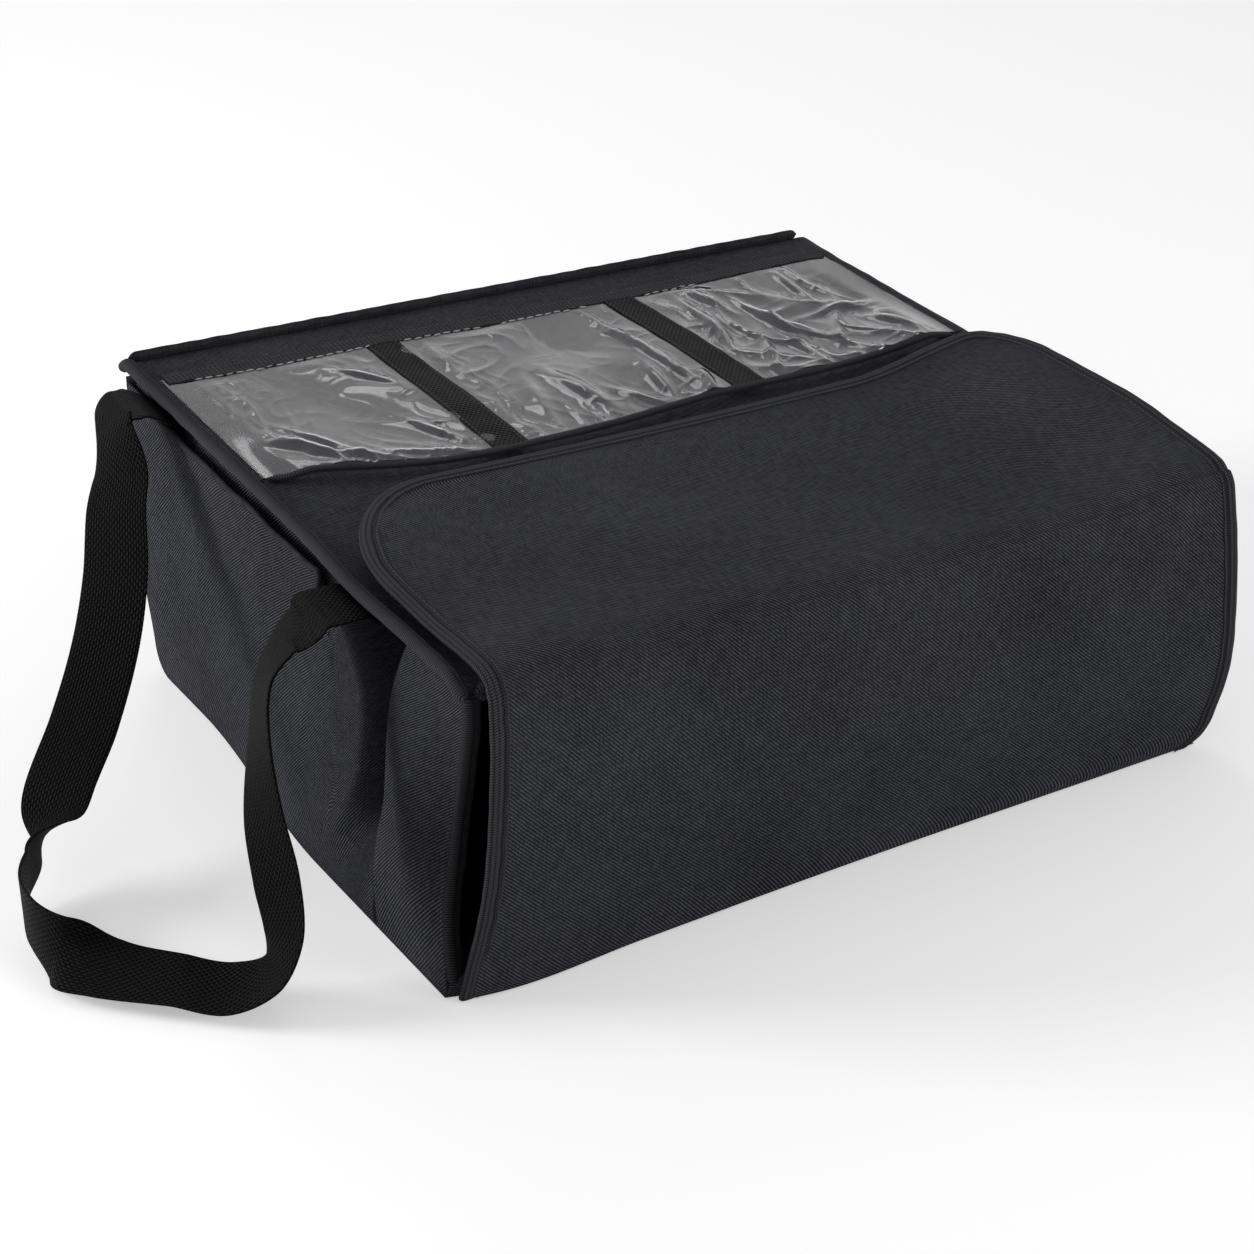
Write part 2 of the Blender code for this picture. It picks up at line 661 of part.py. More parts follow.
def flap_edges(along):
    """Left and right ends of the flap at a place along it: drawn in at the foot, round at the free end."""
    here = curve_through(flap_profile(0), along)
    foot = FLAP_FOOT_TUCK * (1 - smooth(here.z / FLAP_FOOT_RAMP)) if along < BEND_SHARE else 0
    left_over = FLAP_CORNER_RADIUS - (FLAP_FREE_Y - here.y)
    left_over = min(max(left_over, 0), FLAP_CORNER_RADIUS)
    cut = FLAP_CORNER_RADIUS - math.sqrt(FLAP_CORNER_RADIUS**2 - left_over**2)
    return FLAP_LEFT_X + foot / 2 + cut, FLAP_RIGHT_X - foot - cut


def flap_at(x, along, depth):
    points = flap_profile(x)
    here = curve_through(points, along)
    ahead = curve_through(points, min(along + TANGENT_SHARE, 1))
    behind = curve_through(points, max(along - TANGENT_SHARE, 0))
    run = (ahead - behind).normalized()
    return here + Vector((0, run.z, -run.y)) * depth


def flap_point(across, along, depth):
    left, right = flap_edges(along)
    return flap_at(mix(left, right, across), along, depth)


def flap_part(name, rows_at, looks):
    def place(across, along, depth):
        return flap_point(across, rows_at(along), depth)

    layers = (
        ("panel", 0, FABRIC, "fabric"),
        ("foam", FOAM_DEPTH, FLAP_FOAM, "foam"),
        ("lining", FLAP_LINING_DEPTH, LINING, "lining"),
    )
    return [
        sheet(f"{name}_{layer}", place, WALL_STEPS, FLAP_STEPS, depth, thickness, looks[look])
        for layer, depth, thickness, look in layers
    ]


def flap_rim(side, along):
    """Middle of the rolled tape beside the flap's straight edge. side is 0 on the left and 1 on the right."""
    beside = Vector(((2 * side - 1) * (FLAP_BINDING_RADIUS + GAP), 0, 0))
    return flap_point(side, along, FLAP_STACK / 2) + beside


def flap_corner(side, angle):
    """Middle of the rolled tape round a free corner: 0 faces outwards, and a quarter turn faces back."""
    outward = 2 * side - 1
    edge = FLAP_RIGHT_X if side else FLAP_LEFT_X
    radius = FLAP_CORNER_RADIUS + FLAP_BINDING_RADIUS + GAP
    x = edge - outward * (FLAP_CORNER_RADIUS - radius * math.cos(angle))
    y = FLAP_FREE_Y - FLAP_CORNER_RADIUS + radius * math.sin(angle)
    return Vector((x, y, top_height(x, y) + FLAP_LIFT - FLAP_STACK / 2))


def make_flap(looks):
    def front_rows(along):
        return mix(0, BEND_SHARE - SPLIT_SHARE, along)

    def top_rows(along):
        return mix(BEND_SHARE + SPLIT_SHARE, 1, 1 - (1 - along) ** FLAP_ROW_EASE)

    front_pieces = flap_part("flap_front", front_rows, looks)
    top_pieces = flap_part("flap_top", top_rows, looks)

    front_end = BEND_SHARE - BINDING_SPLIT_SHARE
    for side, name in ((0, "left"), (1, "right")):
        points = [flap_rim(side, mix(0, front_end, step / TUBE_STEPS)) for step in range(TUBE_STEPS + 1)]
        front_pieces.append(tube(f"flap_front_{name}_binding", points, FLAP_BINDING_RADIUS, looks["tape"]))

    start = BEND_SHARE + BINDING_SPLIT_SHARE
    turns = [math.pi / 2 * step / CORNER_STEPS for step in range(CORNER_STEPS + 1)]
    edge = [mix(start, CORNER_START_SHARE, step / FLAP_STEPS) for step in range(FLAP_STEPS)]
    points = [flap_rim(0, along) for along in edge]
    points += [flap_corner(0, turn) for turn in turns]
    points += [flap_corner(1, turn) for turn in reversed(turns)]
    points += [flap_rim(1, along) for along in reversed(edge)]
    top_pieces.append(tube("flap_top_binding", points, FLAP_BINDING_RADIUS, looks["tape"]))
    top_pieces.append(fastening_strip("flap_hook_strip", 2 * TAPE_OVER, looks["hook_loop"]))

    front_hinge = hinge("flap_front_hinge", Vector((0, FLAP_FOOT_Y, FLAP_FOOT_Z)), front_pieces)
    bend = (flap_at(FLAP_LEFT_X, BEND_SHARE, 0) + flap_at(FLAP_RIGHT_X, BEND_SHARE, 0)) / 2
    top_hinge = hinge("flap_top_hinge", bend, top_pieces)
    carry(front_hinge, top_hinge)


# Webbing handles


def webbing(name, stations, look, columns, steps, lay=None):
    """Flat webbing along stations of (middle, width direction). lay moves a point onto the wall it lies on."""
    middles = [middle for middle, _ in stations]

    def place(across, along, depth):
        ahead = curve_through(middles, min(along + TANGENT_SHARE, 1))
        behind = curve_through(middles, max(along - TANGENT_SHARE, 0))
        run = (ahead - behind).normalized()
        index, t = section(stations, along)
        width = mix(stations[index][1], stations[index + 1][1], t)
        width = (width - run * width.dot(run)).normalized()
        face = run.cross(width)
        beside = width * (across - 0.5) * WEBBING_WIDTH + face * (WEBBING / 2 - depth)
        point = curve_through(middles, along) + beside
        return lay(point, depth) if lay else point

    return sheet(name, place, columns, steps, 0, WEBBING, look)


def apex(side, rear):
    """Where a handle's webbing leaves its sewn end: its joint's axis runs through both."""
    y = HANDLE_REAR_Y if rear else HANDLE_FRONT_Y
    if side < 0:
        reach, rise = LEFT_APEX_REACH, LEFT_REAR_APEX_RISE if rear else -LEFT_FRONT_APEX_DROP
    else:
        reach, rise = RIGHT_APEX_REACH, -RIGHT_APEX_DROP
    return Vector((side * (WIDTH / 2 + reach), y, edge_height(side * WIDTH / 2, y) + rise))


def leaving(side):
    """Which way the webbing leaves an apex, and the way from its outer face to its inner one."""
    outwards, down = Vector((side, 0, 0)), Vector((0, 0, -1))
    return (outwards, down) if side < 0 else (down, -outwards)


def make_handle(side, name, shares, reach, looks):
    rear, front = apex(side, True), apex(side, False)
    axis = (rear - front).normalized()
    lead, inwards = leaving(side)
    aside = lead * GAP + inwards * (WEBBING / 2)
    start, end = rear + aside, front + aside
    level = lead * APEX_LEVEL
    brow = lead * APEX_BROW - Vector((0, 0, APEX_BROW_DROP))
    stations = [(start, -axis), (start + level, -axis), (start + brow, -axis)]
    for out, forward, up, wide, long, high in shares:
        x = start.x + side * out * reach
        middle = Vector((x, start.y - forward * LOOP_SPREAD, up * LOOP_HEIGHT_SHARE * start.z))
        stations.append((middle, Vector((-side * wide, long, high))))
    stations += [(end + brow, axis), (end + level, axis), (end, axis)]
    handle = webbing(f"{name}_handle_webbing", stations, looks["webbing"], 2, LOOP_STEPS)
    hinge(f"{name}_handle_hinge", (rear + front) / 2, [handle])
    make_webbing_end(side, f"{name}_rear_webbing_end", rear, SLEEVE_DROP, axis, looks)
    make_webbing_end(side, f"{name}_front_webbing_end", front, NOTCH_DROP, axis, looks)


def make_webbing_end(side, name, top, skin_drop, axis, looks):
    """The sewn end of a handle: up between sleeve and wall, out under the piping, and over to the apex."""
    lead, inwards = leaving(side)
    tip = top - lead * (GAP / 2) + inwards * (WEBBING / 2)
    edge = edge_height(side * WIDTH / 2, tip.y)
    wall = side * (WIDTH / 2 - FABRIC - SLEEVE_SPACE / 2)
    stations = [
        (Vector((wall, tip.y, edge - ANCHOR_DROP)), axis),
        (Vector((wall, tip.y, edge - skin_drop)), axis),
        (Vector((mix(wall, tip.x, PASS_OUT_SHARE), tip.y, edge - PASS_DROP)), axis),
        (tip - lead * APEX_LEVEL, axis),
        (tip, axis),
    ]

    def lay(point, depth):
        height = edge_height(side * WIDTH / 2, point.y)
        risen = smooth((point.z - height + skin_drop - GAP) / (skin_drop - PASS_DROP))
        free = max(risen, smooth(side * (point.x - wall) / WEBBING - 1))
        in_wall = depth if side < 0 else WEBBING - depth
        on_wall = side_point(side, point.y, point.z, FABRIC + (SLEEVE_SPACE - WEBBING) / 2 + in_wall)
        return on_wall.lerp(point, free)

    webbing(name, stations, looks["webbing"], END_COLUMNS, END_STEPS, lay)


def clear_scene():
    for item in list(bpy.data.objects):
        bpy.data.objects.remove(item, do_unlink=True)


def main():
    clear_scene()
    looks = {
        "fabric": material("black_oxford", (0.030, 0.031, 0.036), 0.85),
        "tape": material("black_tape", (0.040, 0.040, 0.042), 0.80),
        "webbing": material("black_webbing", (0.018, 0.018, 0.019), 0.55),
        "foam": material("grey_foam", (0.25, 0.25, 0.26), 0.95),
        "lining": material("dark_lining", (0.020, 0.020, 0.021), 0.60),
        "pvc": material("clear_vinyl", (0.75, 0.75, 0.76), 0.12),
        "hook_loop": material("hook_and_loop", (0.015, 0.015, 0.015), 1.0),
    }
    make_bottom(looks)
    make_back(looks)
    make_top(looks)
    make_side(-1, "left", looks)
    make_side(1, "right", looks)
    make_edges(looks)
    make_pockets(looks)
    fastening_strip("top_loop_strip", TAPE_OVER, looks["hook_loop"])
    make_flap(looks)
    make_handle(-1, "left", LEFT_LOOP_SHARES, LEFT_REACH, looks)
    make_handle(1, "right", RIGHT_LOOP_SHARES, RIGHT_REACH, looks)


main()
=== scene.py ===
# %% [markdown]
# # An insulated delivery bag
# The bag is a padded fabric box that lies on its base. A flap is sewn on at the foot of its open
# mouth, stands up in front of it, bends over and lies on the top. Behind the flap's free end are
# three clear ticket pockets, and a webbing handle hangs at each side. The packed model holds the
# true sizes and the joints, and this scene puts cloth, tape, webbing and vinyl over it.

# %% Load the packed model
import math

import bmesh
import bpy
import numpy as np
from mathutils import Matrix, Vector


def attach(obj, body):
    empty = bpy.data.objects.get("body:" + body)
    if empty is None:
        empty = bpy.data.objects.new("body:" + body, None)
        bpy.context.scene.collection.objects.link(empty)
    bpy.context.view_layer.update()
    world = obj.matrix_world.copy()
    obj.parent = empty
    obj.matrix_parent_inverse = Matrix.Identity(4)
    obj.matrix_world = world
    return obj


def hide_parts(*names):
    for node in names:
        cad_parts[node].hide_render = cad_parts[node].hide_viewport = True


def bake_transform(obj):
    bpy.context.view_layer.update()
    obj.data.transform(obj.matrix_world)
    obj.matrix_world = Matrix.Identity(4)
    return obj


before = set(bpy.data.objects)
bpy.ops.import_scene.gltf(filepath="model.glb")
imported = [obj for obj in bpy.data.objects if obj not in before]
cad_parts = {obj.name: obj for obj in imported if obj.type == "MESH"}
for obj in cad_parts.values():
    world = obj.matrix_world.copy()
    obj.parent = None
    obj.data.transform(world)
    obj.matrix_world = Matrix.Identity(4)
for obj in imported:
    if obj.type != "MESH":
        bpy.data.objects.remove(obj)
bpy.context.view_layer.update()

# %% [markdown]
# ## Sizes
# Every cloth piece follows the same surfaces as the solids under it, so the sizes that set those
# surfaces come first. All are in metres, with +Z up and the mouth towards -Y.

# %% Sizes of the bag
WIDTH, MOUTH_Y, BACK_Y = 0.510, -0.2065, 0.225
FRONT_LEFT_HEIGHT, FRONT_RIGHT_HEIGHT = 0.188, 0.184
BACK_LEFT_HEIGHT, BACK_RIGHT_HEIGHT = 0.211, 0.1965
BACK_LEAN, BACK_UPRIGHT_SHARE, BACK_FOOT_RADIUS, BACK_BULGE = 0.012, 0.88, 0.020, 0.006
TOP_SAG = 0.004
GAP, FABRIC, TAPE, PVC = 0.0003, 0.0012, 0.0015, 0.0005
WALL = 0.0086
SLEEVE_SPACE = 0.0034
SIDE_WALL_DEPTH = FABRIC + SLEEVE_SPACE
SIDE_STACK = SIDE_WALL_DEPTH + WALL
HANDLE_REAR_Y, HANDLE_FRONT_Y = BACK_Y - 0.062, MOUTH_Y + 0.1065
SLEEVE_DROP, NOTCH_DROP, PASS_DROP = 0.012, 0.018, 0.006
VALLEY_Y, GUSSET_CROWN_Y, REAR_CROWN_Y = MOUTH_Y + 0.1265, MOUTH_Y + 0.0415, BACK_Y - 0.135
FLAP_STACK, FLAP_LIFT = 0.0068, 0.0107
FLAP_FOOT_Y = MOUTH_Y - 0.0167
FLAP_BULGE, FLAP_BEND_RADIUS = 0.021, 0.022
FLAP_FREE_Y = MOUTH_Y + 0.1945
POCKET_BACK_Y, POCKET_HALF_WIDTH = BACK_Y - 0.037, WIDTH / 2 - 0.0125
DIVIDER_WIDTH, BACK_TAPE_Y, BACK_TAPE_WIDTH = 0.024, POCKET_BACK_Y - 0.008, 0.014
LEFT_DIVIDER_X = POCKET_HALF_WIDTH * (2 * 0.297 - 1)
RIGHT_DIVIDER_X = POCKET_HALF_WIDTH * (2 * 0.660 - 1)
WEBBING_WIDTH, WEBBING = 0.040, 0.0018
print("wide and deep in m:", WIDTH, round(BACK_Y - MOUTH_Y, 4))

# %% [markdown]
# ## Small tools for shapes
# Cloth is made here as grids. Working on whole arrays of points at once keeps fine grids quick, and
# a smooth curve through a few chosen points gives the flap's line and the handles' way.

# %% Curves and steps


def smooth(share):
    """A share from 0 to 1 that starts and ends gently."""
    share = np.clip(share, 0.0, 1.0)
    return share * share * (3 - 2 * share)


def mix(low, high, share):
    """The value at a share of the way from low to high."""
    return low + (high - low) * share


def hump(value, middle, spread):
    """A rounded peak of height 1 round a middle."""
    return np.exp(-(((value - middle) / spread) ** 2))


def line_through(at, places, values):
    """Smooth line through values that are given at rising places, read at one place or many."""
    places, values = np.array(places, float), np.array(values, float)
    slopes = np.gradient(values, places)
    spot = np.clip(np.searchsorted(places, at) - 1, 0, len(places) - 2)
    gap = places[spot + 1] - places[spot]
    t = np.clip((at - places[spot]) / gap, 0, 1)
    low = values[spot] * (1 + 2 * t) * (1 - t) ** 2 + slopes[spot] * gap * t * (1 - t) ** 2
    return low + values[spot + 1] * t * t * (3 - 2 * t) + slopes[spot + 1] * gap * t * t * (t - 1)


def curve_through(points, share):
    """Point at a share of a smooth curve through points, an array whose first axis counts them."""
    last = len(points) - 1
    place = min(max(share, 0.0), 1.0) * last
    index = min(int(place), last - 1)
    t = place - index
    before, start = points[max(index - 1, 0)], points[index]
    end, after = points[index + 1], points[min(index + 2, last)]

    def length(step):
        return np.linalg.norm(step, axis=-1, keepdims=True)

    here = length(end - start)
    leave = (end - before) * here / (here + length(start - before))
    arrive = (after - start) * here / (here + length(after - end))
    return (
        start * (2 * t**3 - 3 * t**2 + 1) + leave * (t**3 - 2 * t**2 + t)
        + end * (3 * t**2 - 2 * t**3) + arrive * (t**3 - t**2)
    )


def unit(vectors):
    """Directions of length 1."""
    return vectors / np.maximum(np.linalg.norm(vectors, axis=-1, keepdims=True), 1e-9)


def distances(points):
    """How far along a line of points each of them lies."""
    return np.concatenate([[0], np.cumsum(np.linalg.norm(np.diff(points, axis=0), axis=1))])


print("a smooth step is", smooth(0.25), "high a quarter of the way up")

# %% [markdown]
# ## Creases
# Cloth is never quite flat. A sum of a few long, slanting waves with set random directions gives
# slow swells, and the same sum folded at its middle line gives the sharp crests of a crease.

# %% Waves and crests


def waves(u, v, seed, pitch, stretch=1.0, count=7):
    """Smooth random swell of about -1 to 1 over places u and v, in metres."""
    draw = np.random.default_rng(seed)
    total = np.zeros(np.broadcast(u, v).shape)
    for _ in range(count):
        turn = draw.uniform(0, math.pi)
        size = 2 * math.pi / (pitch * draw.uniform(0.7, 1.5))
        total += np.sin((u * math.cos(turn) + v * math.sin(turn) * stretch) * size + draw.uniform(0, 6.28))
    return total / math.sqrt(count)


def crests(u, v, seed, pitch, stretch=1.0):
    """Sharp crests between soft hollows, 0 to 1."""
    bend = waves(u, v, seed + 50, pitch * 2) * pitch * 0.35
    return np.clip(1 - np.abs(waves(u + bend, v - bend, seed, pitch, stretch)), 0, 1) ** 2


def fold(u, v, place, turn, length, width):
    """One crease of about 1 high: its middle, the way it runs in degrees, how long and how wide."""
    turn = math.radians(turn)
    along = (u - place[0]) * math.cos(turn) + (v - place[1]) * math.sin(turn)
    across = -(u - place[0]) * math.sin(turn) + (v - place[1]) * math.cos(turn)
    return np.exp(-((across / width) ** 2)) * np.exp(-((along / length) ** 2))


sample = waves(np.linspace(0, 1, 200), np.zeros(200), 1, 0.10)
print("a swell runs from", round(sample.min(), 2), "to", round(sample.max(), 2))

# %% [markdown]
# ## The bag's surfaces
# The top is a little higher at the back and on the left, and sags in the middle. The back leans in
# over its round foot. Both are formulas, so that any piece can ask for the surface it lies on.

# %% Top and back


def edge_height(x, y):
    """Height of the bag's top edges over a place, with no sag between them."""
    across, back = x / WIDTH + 0.5, (y - MOUTH_Y) / (BACK_Y - MOUTH_Y)
    front = mix(FRONT_LEFT_HEIGHT, FRONT_RIGHT_HEIGHT, across)
    return mix(front, mix(BACK_LEFT_HEIGHT, BACK_RIGHT_HEIGHT, across), back)


def side_top(side, y):
    """Height of a side's top edge."""
    return edge_height(side * WIDTH / 2, y)


def top_height(x, y):
    """Height of the top, which sags between its edges."""
    across = np.clip(x / WIDTH + 0.5, 0, 1)
    back = np.clip((y - MOUTH_Y) / (BACK_Y - MOUTH_Y), 0, 1)
    return edge_height(x, y) - TOP_SAG * np.sin(math.pi * across) * np.sin(math.pi * back)


def back_line(x, z, margin):
    """Y of the back at a height, drawn in by a margin."""
    middle = BACK_Y - BACK_LEAN - BACK_FOOT_RADIUS
    radius = BACK_FOOT_RADIUS - margin
    foot = middle + np.sqrt(np.maximum(radius**2 - (BACK_FOOT_RADIUS - z) ** 2, 0))
    rise = (z - BACK_FOOT_RADIUS) / (edge_height(x, BACK_Y) - BACK_FOOT_RADIUS)
    wall = BACK_Y - margin - BACK_LEAN * (1 - smooth(rise / BACK_UPRIGHT_SHARE))
    return np.where(z < BACK_FOOT_RADIUS, foot, wall)


print("top's height over the middle of the bag, in m:", round(float(top_height(0, 0)), 4))

# %% [markdown]
# ## The sides
# The sides have a puffed gusset beside the mouth and a deep fold behind it, where the bag folds in.
# Three lines run up each side: the mouth's edge, the seam behind the gusset and the place where the
# sleeve turns into the fold. In front, the foot of the empty bag spreads on the floor. All the
# sheets of a side are drawn in from this one surface, so they keep clear of each other.

# %% Sides

# Three lines up a side, by shares of its height, and the foot's line, by X: each with its Y there.
MOUTH_LINE = (
    (0, 0.05, 0.10, 0.16, 0.39, 0.69, 0.90, 1),
    (-0.2165, -0.207, -0.198, -0.1915, -0.189, -0.201, -0.2125, -0.215),
)
SEAM_LINE = (0, 0.08, 0.34, 0.57, 0.96, 1), (-0.136, -0.114, -0.106, -0.116, -0.1515, -0.155)
FOLD_LINE = (0, 0.11, 0.38, 0.63, 0.83, 1), (-0.060, -0.064, -0.0757, -0.0745, -0.063, -0.058)
FOOT_LINE = (-0.268, -0.244, -0.15, -0.04, 0.25), (-0.2240, -0.2280, -0.2250, -0.2212, -0.2180)
# How far each form of a side stands out or is drawn in.
REAR_BULGE, FOOT_BULGE, GUSSET_PUFF = 0.005, 0.006, 0.010
MOUTH_CURL, VALLEY_DEPTH, FOLD_DEPTH, SEAM_PINCH = 0.0045, 0.011, 0.055, 0.0022
FOOT_SPREAD = {-1: 0.016, 1: 0.004}


def mouth_line(up):
    """Y of the mouth's edge, at a share of the side's height."""
    return line_through(up, *MOUTH_LINE)


def seam_line(up):
    """Y of the seam behind the gusset."""
    return line_through(up, *SEAM_LINE)


def fold_line(up):
    """Y at which the sleeve turns into the fold."""
    return line_through(up, *FOLD_LINE)


def foot_line(x):
    """Y of the flap's foot on the floor, at a place across the bag."""
    return line_through(x, *FOOT_LINE)


def side_swell(y, up):
    """How far a side's surface stands out at a place along it, at a share of its height."""
    from_mouth, from_seam, from_fold = y - mouth_line(up), y - seam_line(up), y - fold_line(up)
    swell = REAR_BULGE * hump(y, REAR_CROWN_Y, 0.080) * smooth((BACK_Y - BACK_LEAN - y) / 0.080)
    swell = swell + FOOT_BULGE * hump(y, 0.195, 0.035) * hump(up, 0.30, 0.25)
    swell = swell + GUSSET_PUFF * hump(y, GUSSET_CROWN_Y, 0.032) * smooth(from_mouth / 0.026)
    swell = swell - MOUTH_CURL * smooth(1 - from_mouth / 0.012)
    swell = swell - VALLEY_DEPTH * hump(y, VALLEY_Y, 0.036)
    drawn = FOLD_DEPTH * smooth((0.006 - from_fold) / 0.026) * smooth(from_seam / 0.006)
    drawn = drawn * smooth(up / 0.34) * smooth((1.01 - up) / 0.06)
    seam = SEAM_PINCH * hump(from_seam, 0, 0.0035) * smooth(up / 0.1)
    return swell * np.sin(math.pi * np.clip(up, 0, 1)) - seam - drawn


def foot_flare(side, y, z):
    """How far the side's foot spreads on the floor, which it does most on the left in front."""
    return FOOT_SPREAD[side] * smooth((0.14 - y) / 0.20) * np.exp(-z / 0.030)


def side_x(side, y, z, depth):
    """How far out the side's surface lies, drawn in by a depth. side is -1 on the left."""
    up = z / side_top(side, y)
    return side * (WIDTH / 2 + side_swell(y, up) + foot_flare(side, y, z) - depth)


print("left side at its middle, in m from the bag's middle:", round(float(side_x(-1, 0.05, 0.1, 0)), 4))

# %% [markdown]
# ## Making a cloth mesh
# A sheet or pad is two grids, the face and the back, joined round the rim. Its UV map is in metres
# along the cloth, so that a weave keeps its true size and turns with the cloth over bends.

# %% Grid meshes


def put_in_scene(name, data):
    """An object for a mesh, lamp or camera, linked to the scene."""
    made = bpy.data.objects.new(name, data)
    bpy.context.scene.collection.objects.link(made)
    return made


def finish_mesh(name, points, faces, uv, looks, face_looks=None, sharp=50):
    """A mesh piece with its cloth UV map, its materials and faces that point outwards."""
    mesh = bpy.data.meshes.new(name)
    mesh.from_pydata([tuple(p) for p in points.tolist()], [], faces)
    layer = mesh.uv_layers.new(name="cloth")
    index = np.empty(len(mesh.loops), np.int32)
    mesh.loops.foreach_get("vertex_index", index)
    layer.data.foreach_set("uv", uv[index].astype(np.float32).ravel())
    for look in looks:
        mesh.materials.append(look)
    if face_looks is not None:
        mesh.polygons.foreach_set("material_index", np.asarray(face_looks, np.int32))
    source = bmesh.new()
    source.from_mesh(mesh)
    if source.calc_volume(signed=True) < 0:
        bmesh.ops.reverse_faces(source, faces=source.faces)
    source.to_mesh(mesh)
    source.free()
    mesh.shade_smooth()
    mesh.set_sharp_from_angle(angle=math.radians(sharp))
    return put_in_scene(name, mesh)


def grid_cloth(name, face, back, looks):
    """A closed sheet between two grids of points, rows by columns. The second look is the back's."""
    rows, columns = face.shape[:2]
    steps_u = np.linalg.norm(np.diff(face, axis=1), axis=-1).mean(axis=0)
    steps_v = np.linalg.norm(np.diff(face, axis=0), axis=-1).mean(axis=1)
    u = np.concatenate([[0], np.cumsum(steps_u)])
    v = np.concatenate([[0], np.cumsum(steps_v)])
    uv = np.stack(np.meshgrid(u, v), axis=-1).reshape(-1, 2)
    number = np.arange(rows * columns).reshape(rows, columns)
    quads = np.stack([number[:-1, :-1], number[:-1, 1:], number[1:, 1:], number[1:, :-1]], axis=-1)
    quads = quads.reshape(-1, 4)
    under = quads[:, ::-1] + rows * columns
    ring = np.concatenate([number[0, :-1], number[:-1, -1], number[-1, :0:-1], number[:0:-1, 0]])
    after = np.roll(ring, -1)
    rim = np.stack([after, ring, ring + rows * columns, after + rows * columns], axis=-1)
    faces = np.concatenate([quads, under, rim]).tolist()
    face_looks = [0] * len(quads) + [len(looks) - 1] * len(under) + [0] * len(rim)
    points = np.concatenate([face.reshape(-1, 3), back.reshape(-1, 3)])
    thick = np.linalg.norm(face - back, axis=-1).mean()
    return finish_mesh(name, points, faces, np.concatenate([uv, uv + thick]), looks, face_looks)


# %% [markdown]
# ## Tapes and rolls
# Webbing, binding and piping are long and thin. Here an outline is carried along a line of centres,
# turned by two directions that are given at each place. A curve with a bevel would be quicker to
# make, but it can't follow the webbing's twists or lie flat on both faces of a pad.

# %% Sweeps


def sweep(name, centres, sides, ups, outline, looks, lay=None):
    """A tape or roll: a closed outline of (side, up) places carried along a line of centres."""
    outline = np.asarray(outline, float)
    if outline.ndim == 2:
        outline = np.repeat(outline[None], len(centres), axis=0)
    rings = centres[:, None] + outline[..., :1] * sides[:, None] + outline[..., 1:] * ups[:, None]
    if lay:
        rings = lay(rings)
    count, size = rings.shape[:2]
    uv = np.stack(np.meshgrid(distances(outline[0]), distances(centres)), axis=-1).reshape(-1, 2)
    faces = []
    for ring in range(count - 1):
        for corner in range(size):
            after = (corner + 1) % size
            low, high = ring * size, (ring + 1) * size
            faces.append((low + corner, low + after, high + after, high + corner))
    faces.append(tuple(range(size))[::-1])
    faces.append(tuple(range((count - 1) * size, count * size)))
    return finish_mesh(name, rings.reshape(-1, 3), faces, uv, looks)


def oval(wide, high, count):
    """Outline of a roll of tape."""
    turn = np.linspace(0, 2 * math.pi, count, endpoint=False)
    return np.stack([np.cos(turn) * wide / 2, np.sin(turn) * high / 2], axis=-1)


print("an oval of 8 points:", oval(2, 1, 8).round(2).tolist())

# %% [markdown]
# ## Node tools
# Materials are trees of small nodes. A board keeps the tree it works on, so that each sum, noise or
# mix is one short call, and a number goes on the node's own socket while an output gets a link.

# %% Node tools


def new_group(name, inputs, outputs):
    """An empty shader group, with its input and output nodes."""
    group = bpy.data.node_groups.new(name, "ShaderNodeTree")
    for label, kind, value in inputs:
        made = group.interface.new_socket(name=label, in_out="INPUT", socket_type=kind)
        if value is not None:
            made.default_value = value
    for label, kind in outputs:
        group.interface.new_socket(name=label, in_out="OUTPUT", socket_type=kind)
    return group, group.nodes.new("NodeGroupInput"), group.nodes.new("NodeGroupOutput")


class Board:
    """Adds nodes to one tree with short calls."""

    def __init__(self, tree):
        self.tree = tree

    def link(self, source, target):
        self.tree.links.new(source, target)

    def math(self, operation, *values, clamp=False):
        node = self.tree.nodes.new("ShaderNodeMath")
        node.operation, node.use_clamp = operation, clamp
        for socket, value in zip(node.inputs, values):
            if isinstance(value, (int, float)):
                socket.default_value = value
            else:
                self.link(value, socket)
        return node.outputs[0]

    def noise(self, vector, scale, detail=3.0, rough=0.55):
        node = self.tree.nodes.new("ShaderNodeTexNoise")
        node.inputs["Scale"].default_value = scale
        node.inputs["Detail"].default_value = detail
        node.inputs["Roughness"].default_value = rough
        self.link(vector, node.inputs["Vector"])
        return node.outputs["Fac"]

    def ramp(self, value, low, high, low_out=0.0, high_out=1.0):
        node = self.tree.nodes.new("ShaderNodeMapRange")
        node.inputs["From Min"].default_value, node.inputs["From Max"].default_value = low, high
        node.inputs["To Min"].default_value, node.inputs["To Max"].default_value = low_out, high_out
        self.link(value, node.inputs["Value"])
        return node.outputs[0]

    def scaled(self, vector, across, along):
        node = self.tree.nodes.new("ShaderNodeVectorMath")
        node.operation = "MULTIPLY"
        node.inputs[1].default_value = (across, along, 1)
        self.link(vector, node.inputs[0])
        return node.outputs[0]

    def split(self, vector):
        node = self.tree.nodes.new("ShaderNodeSeparateXYZ")
        self.link(vector, node.inputs[0])
        return node.outputs

    def colour(self, share, first, second):
        node = self.tree.nodes.new("ShaderNodeMix")
        node.data_type = "RGBA"
        self.link(share, node.inputs["Factor"])
        sockets = [s for s in node.inputs if s.type == "RGBA"]
        sockets[0].default_value, sockets[1].default_value = (*first, 1), (*second, 1)
        return [s for s in node.outputs if s.type == "RGBA"][0]


print("node tools:", ", ".join(tool for tool in vars(Board) if not tool.startswith("_")))

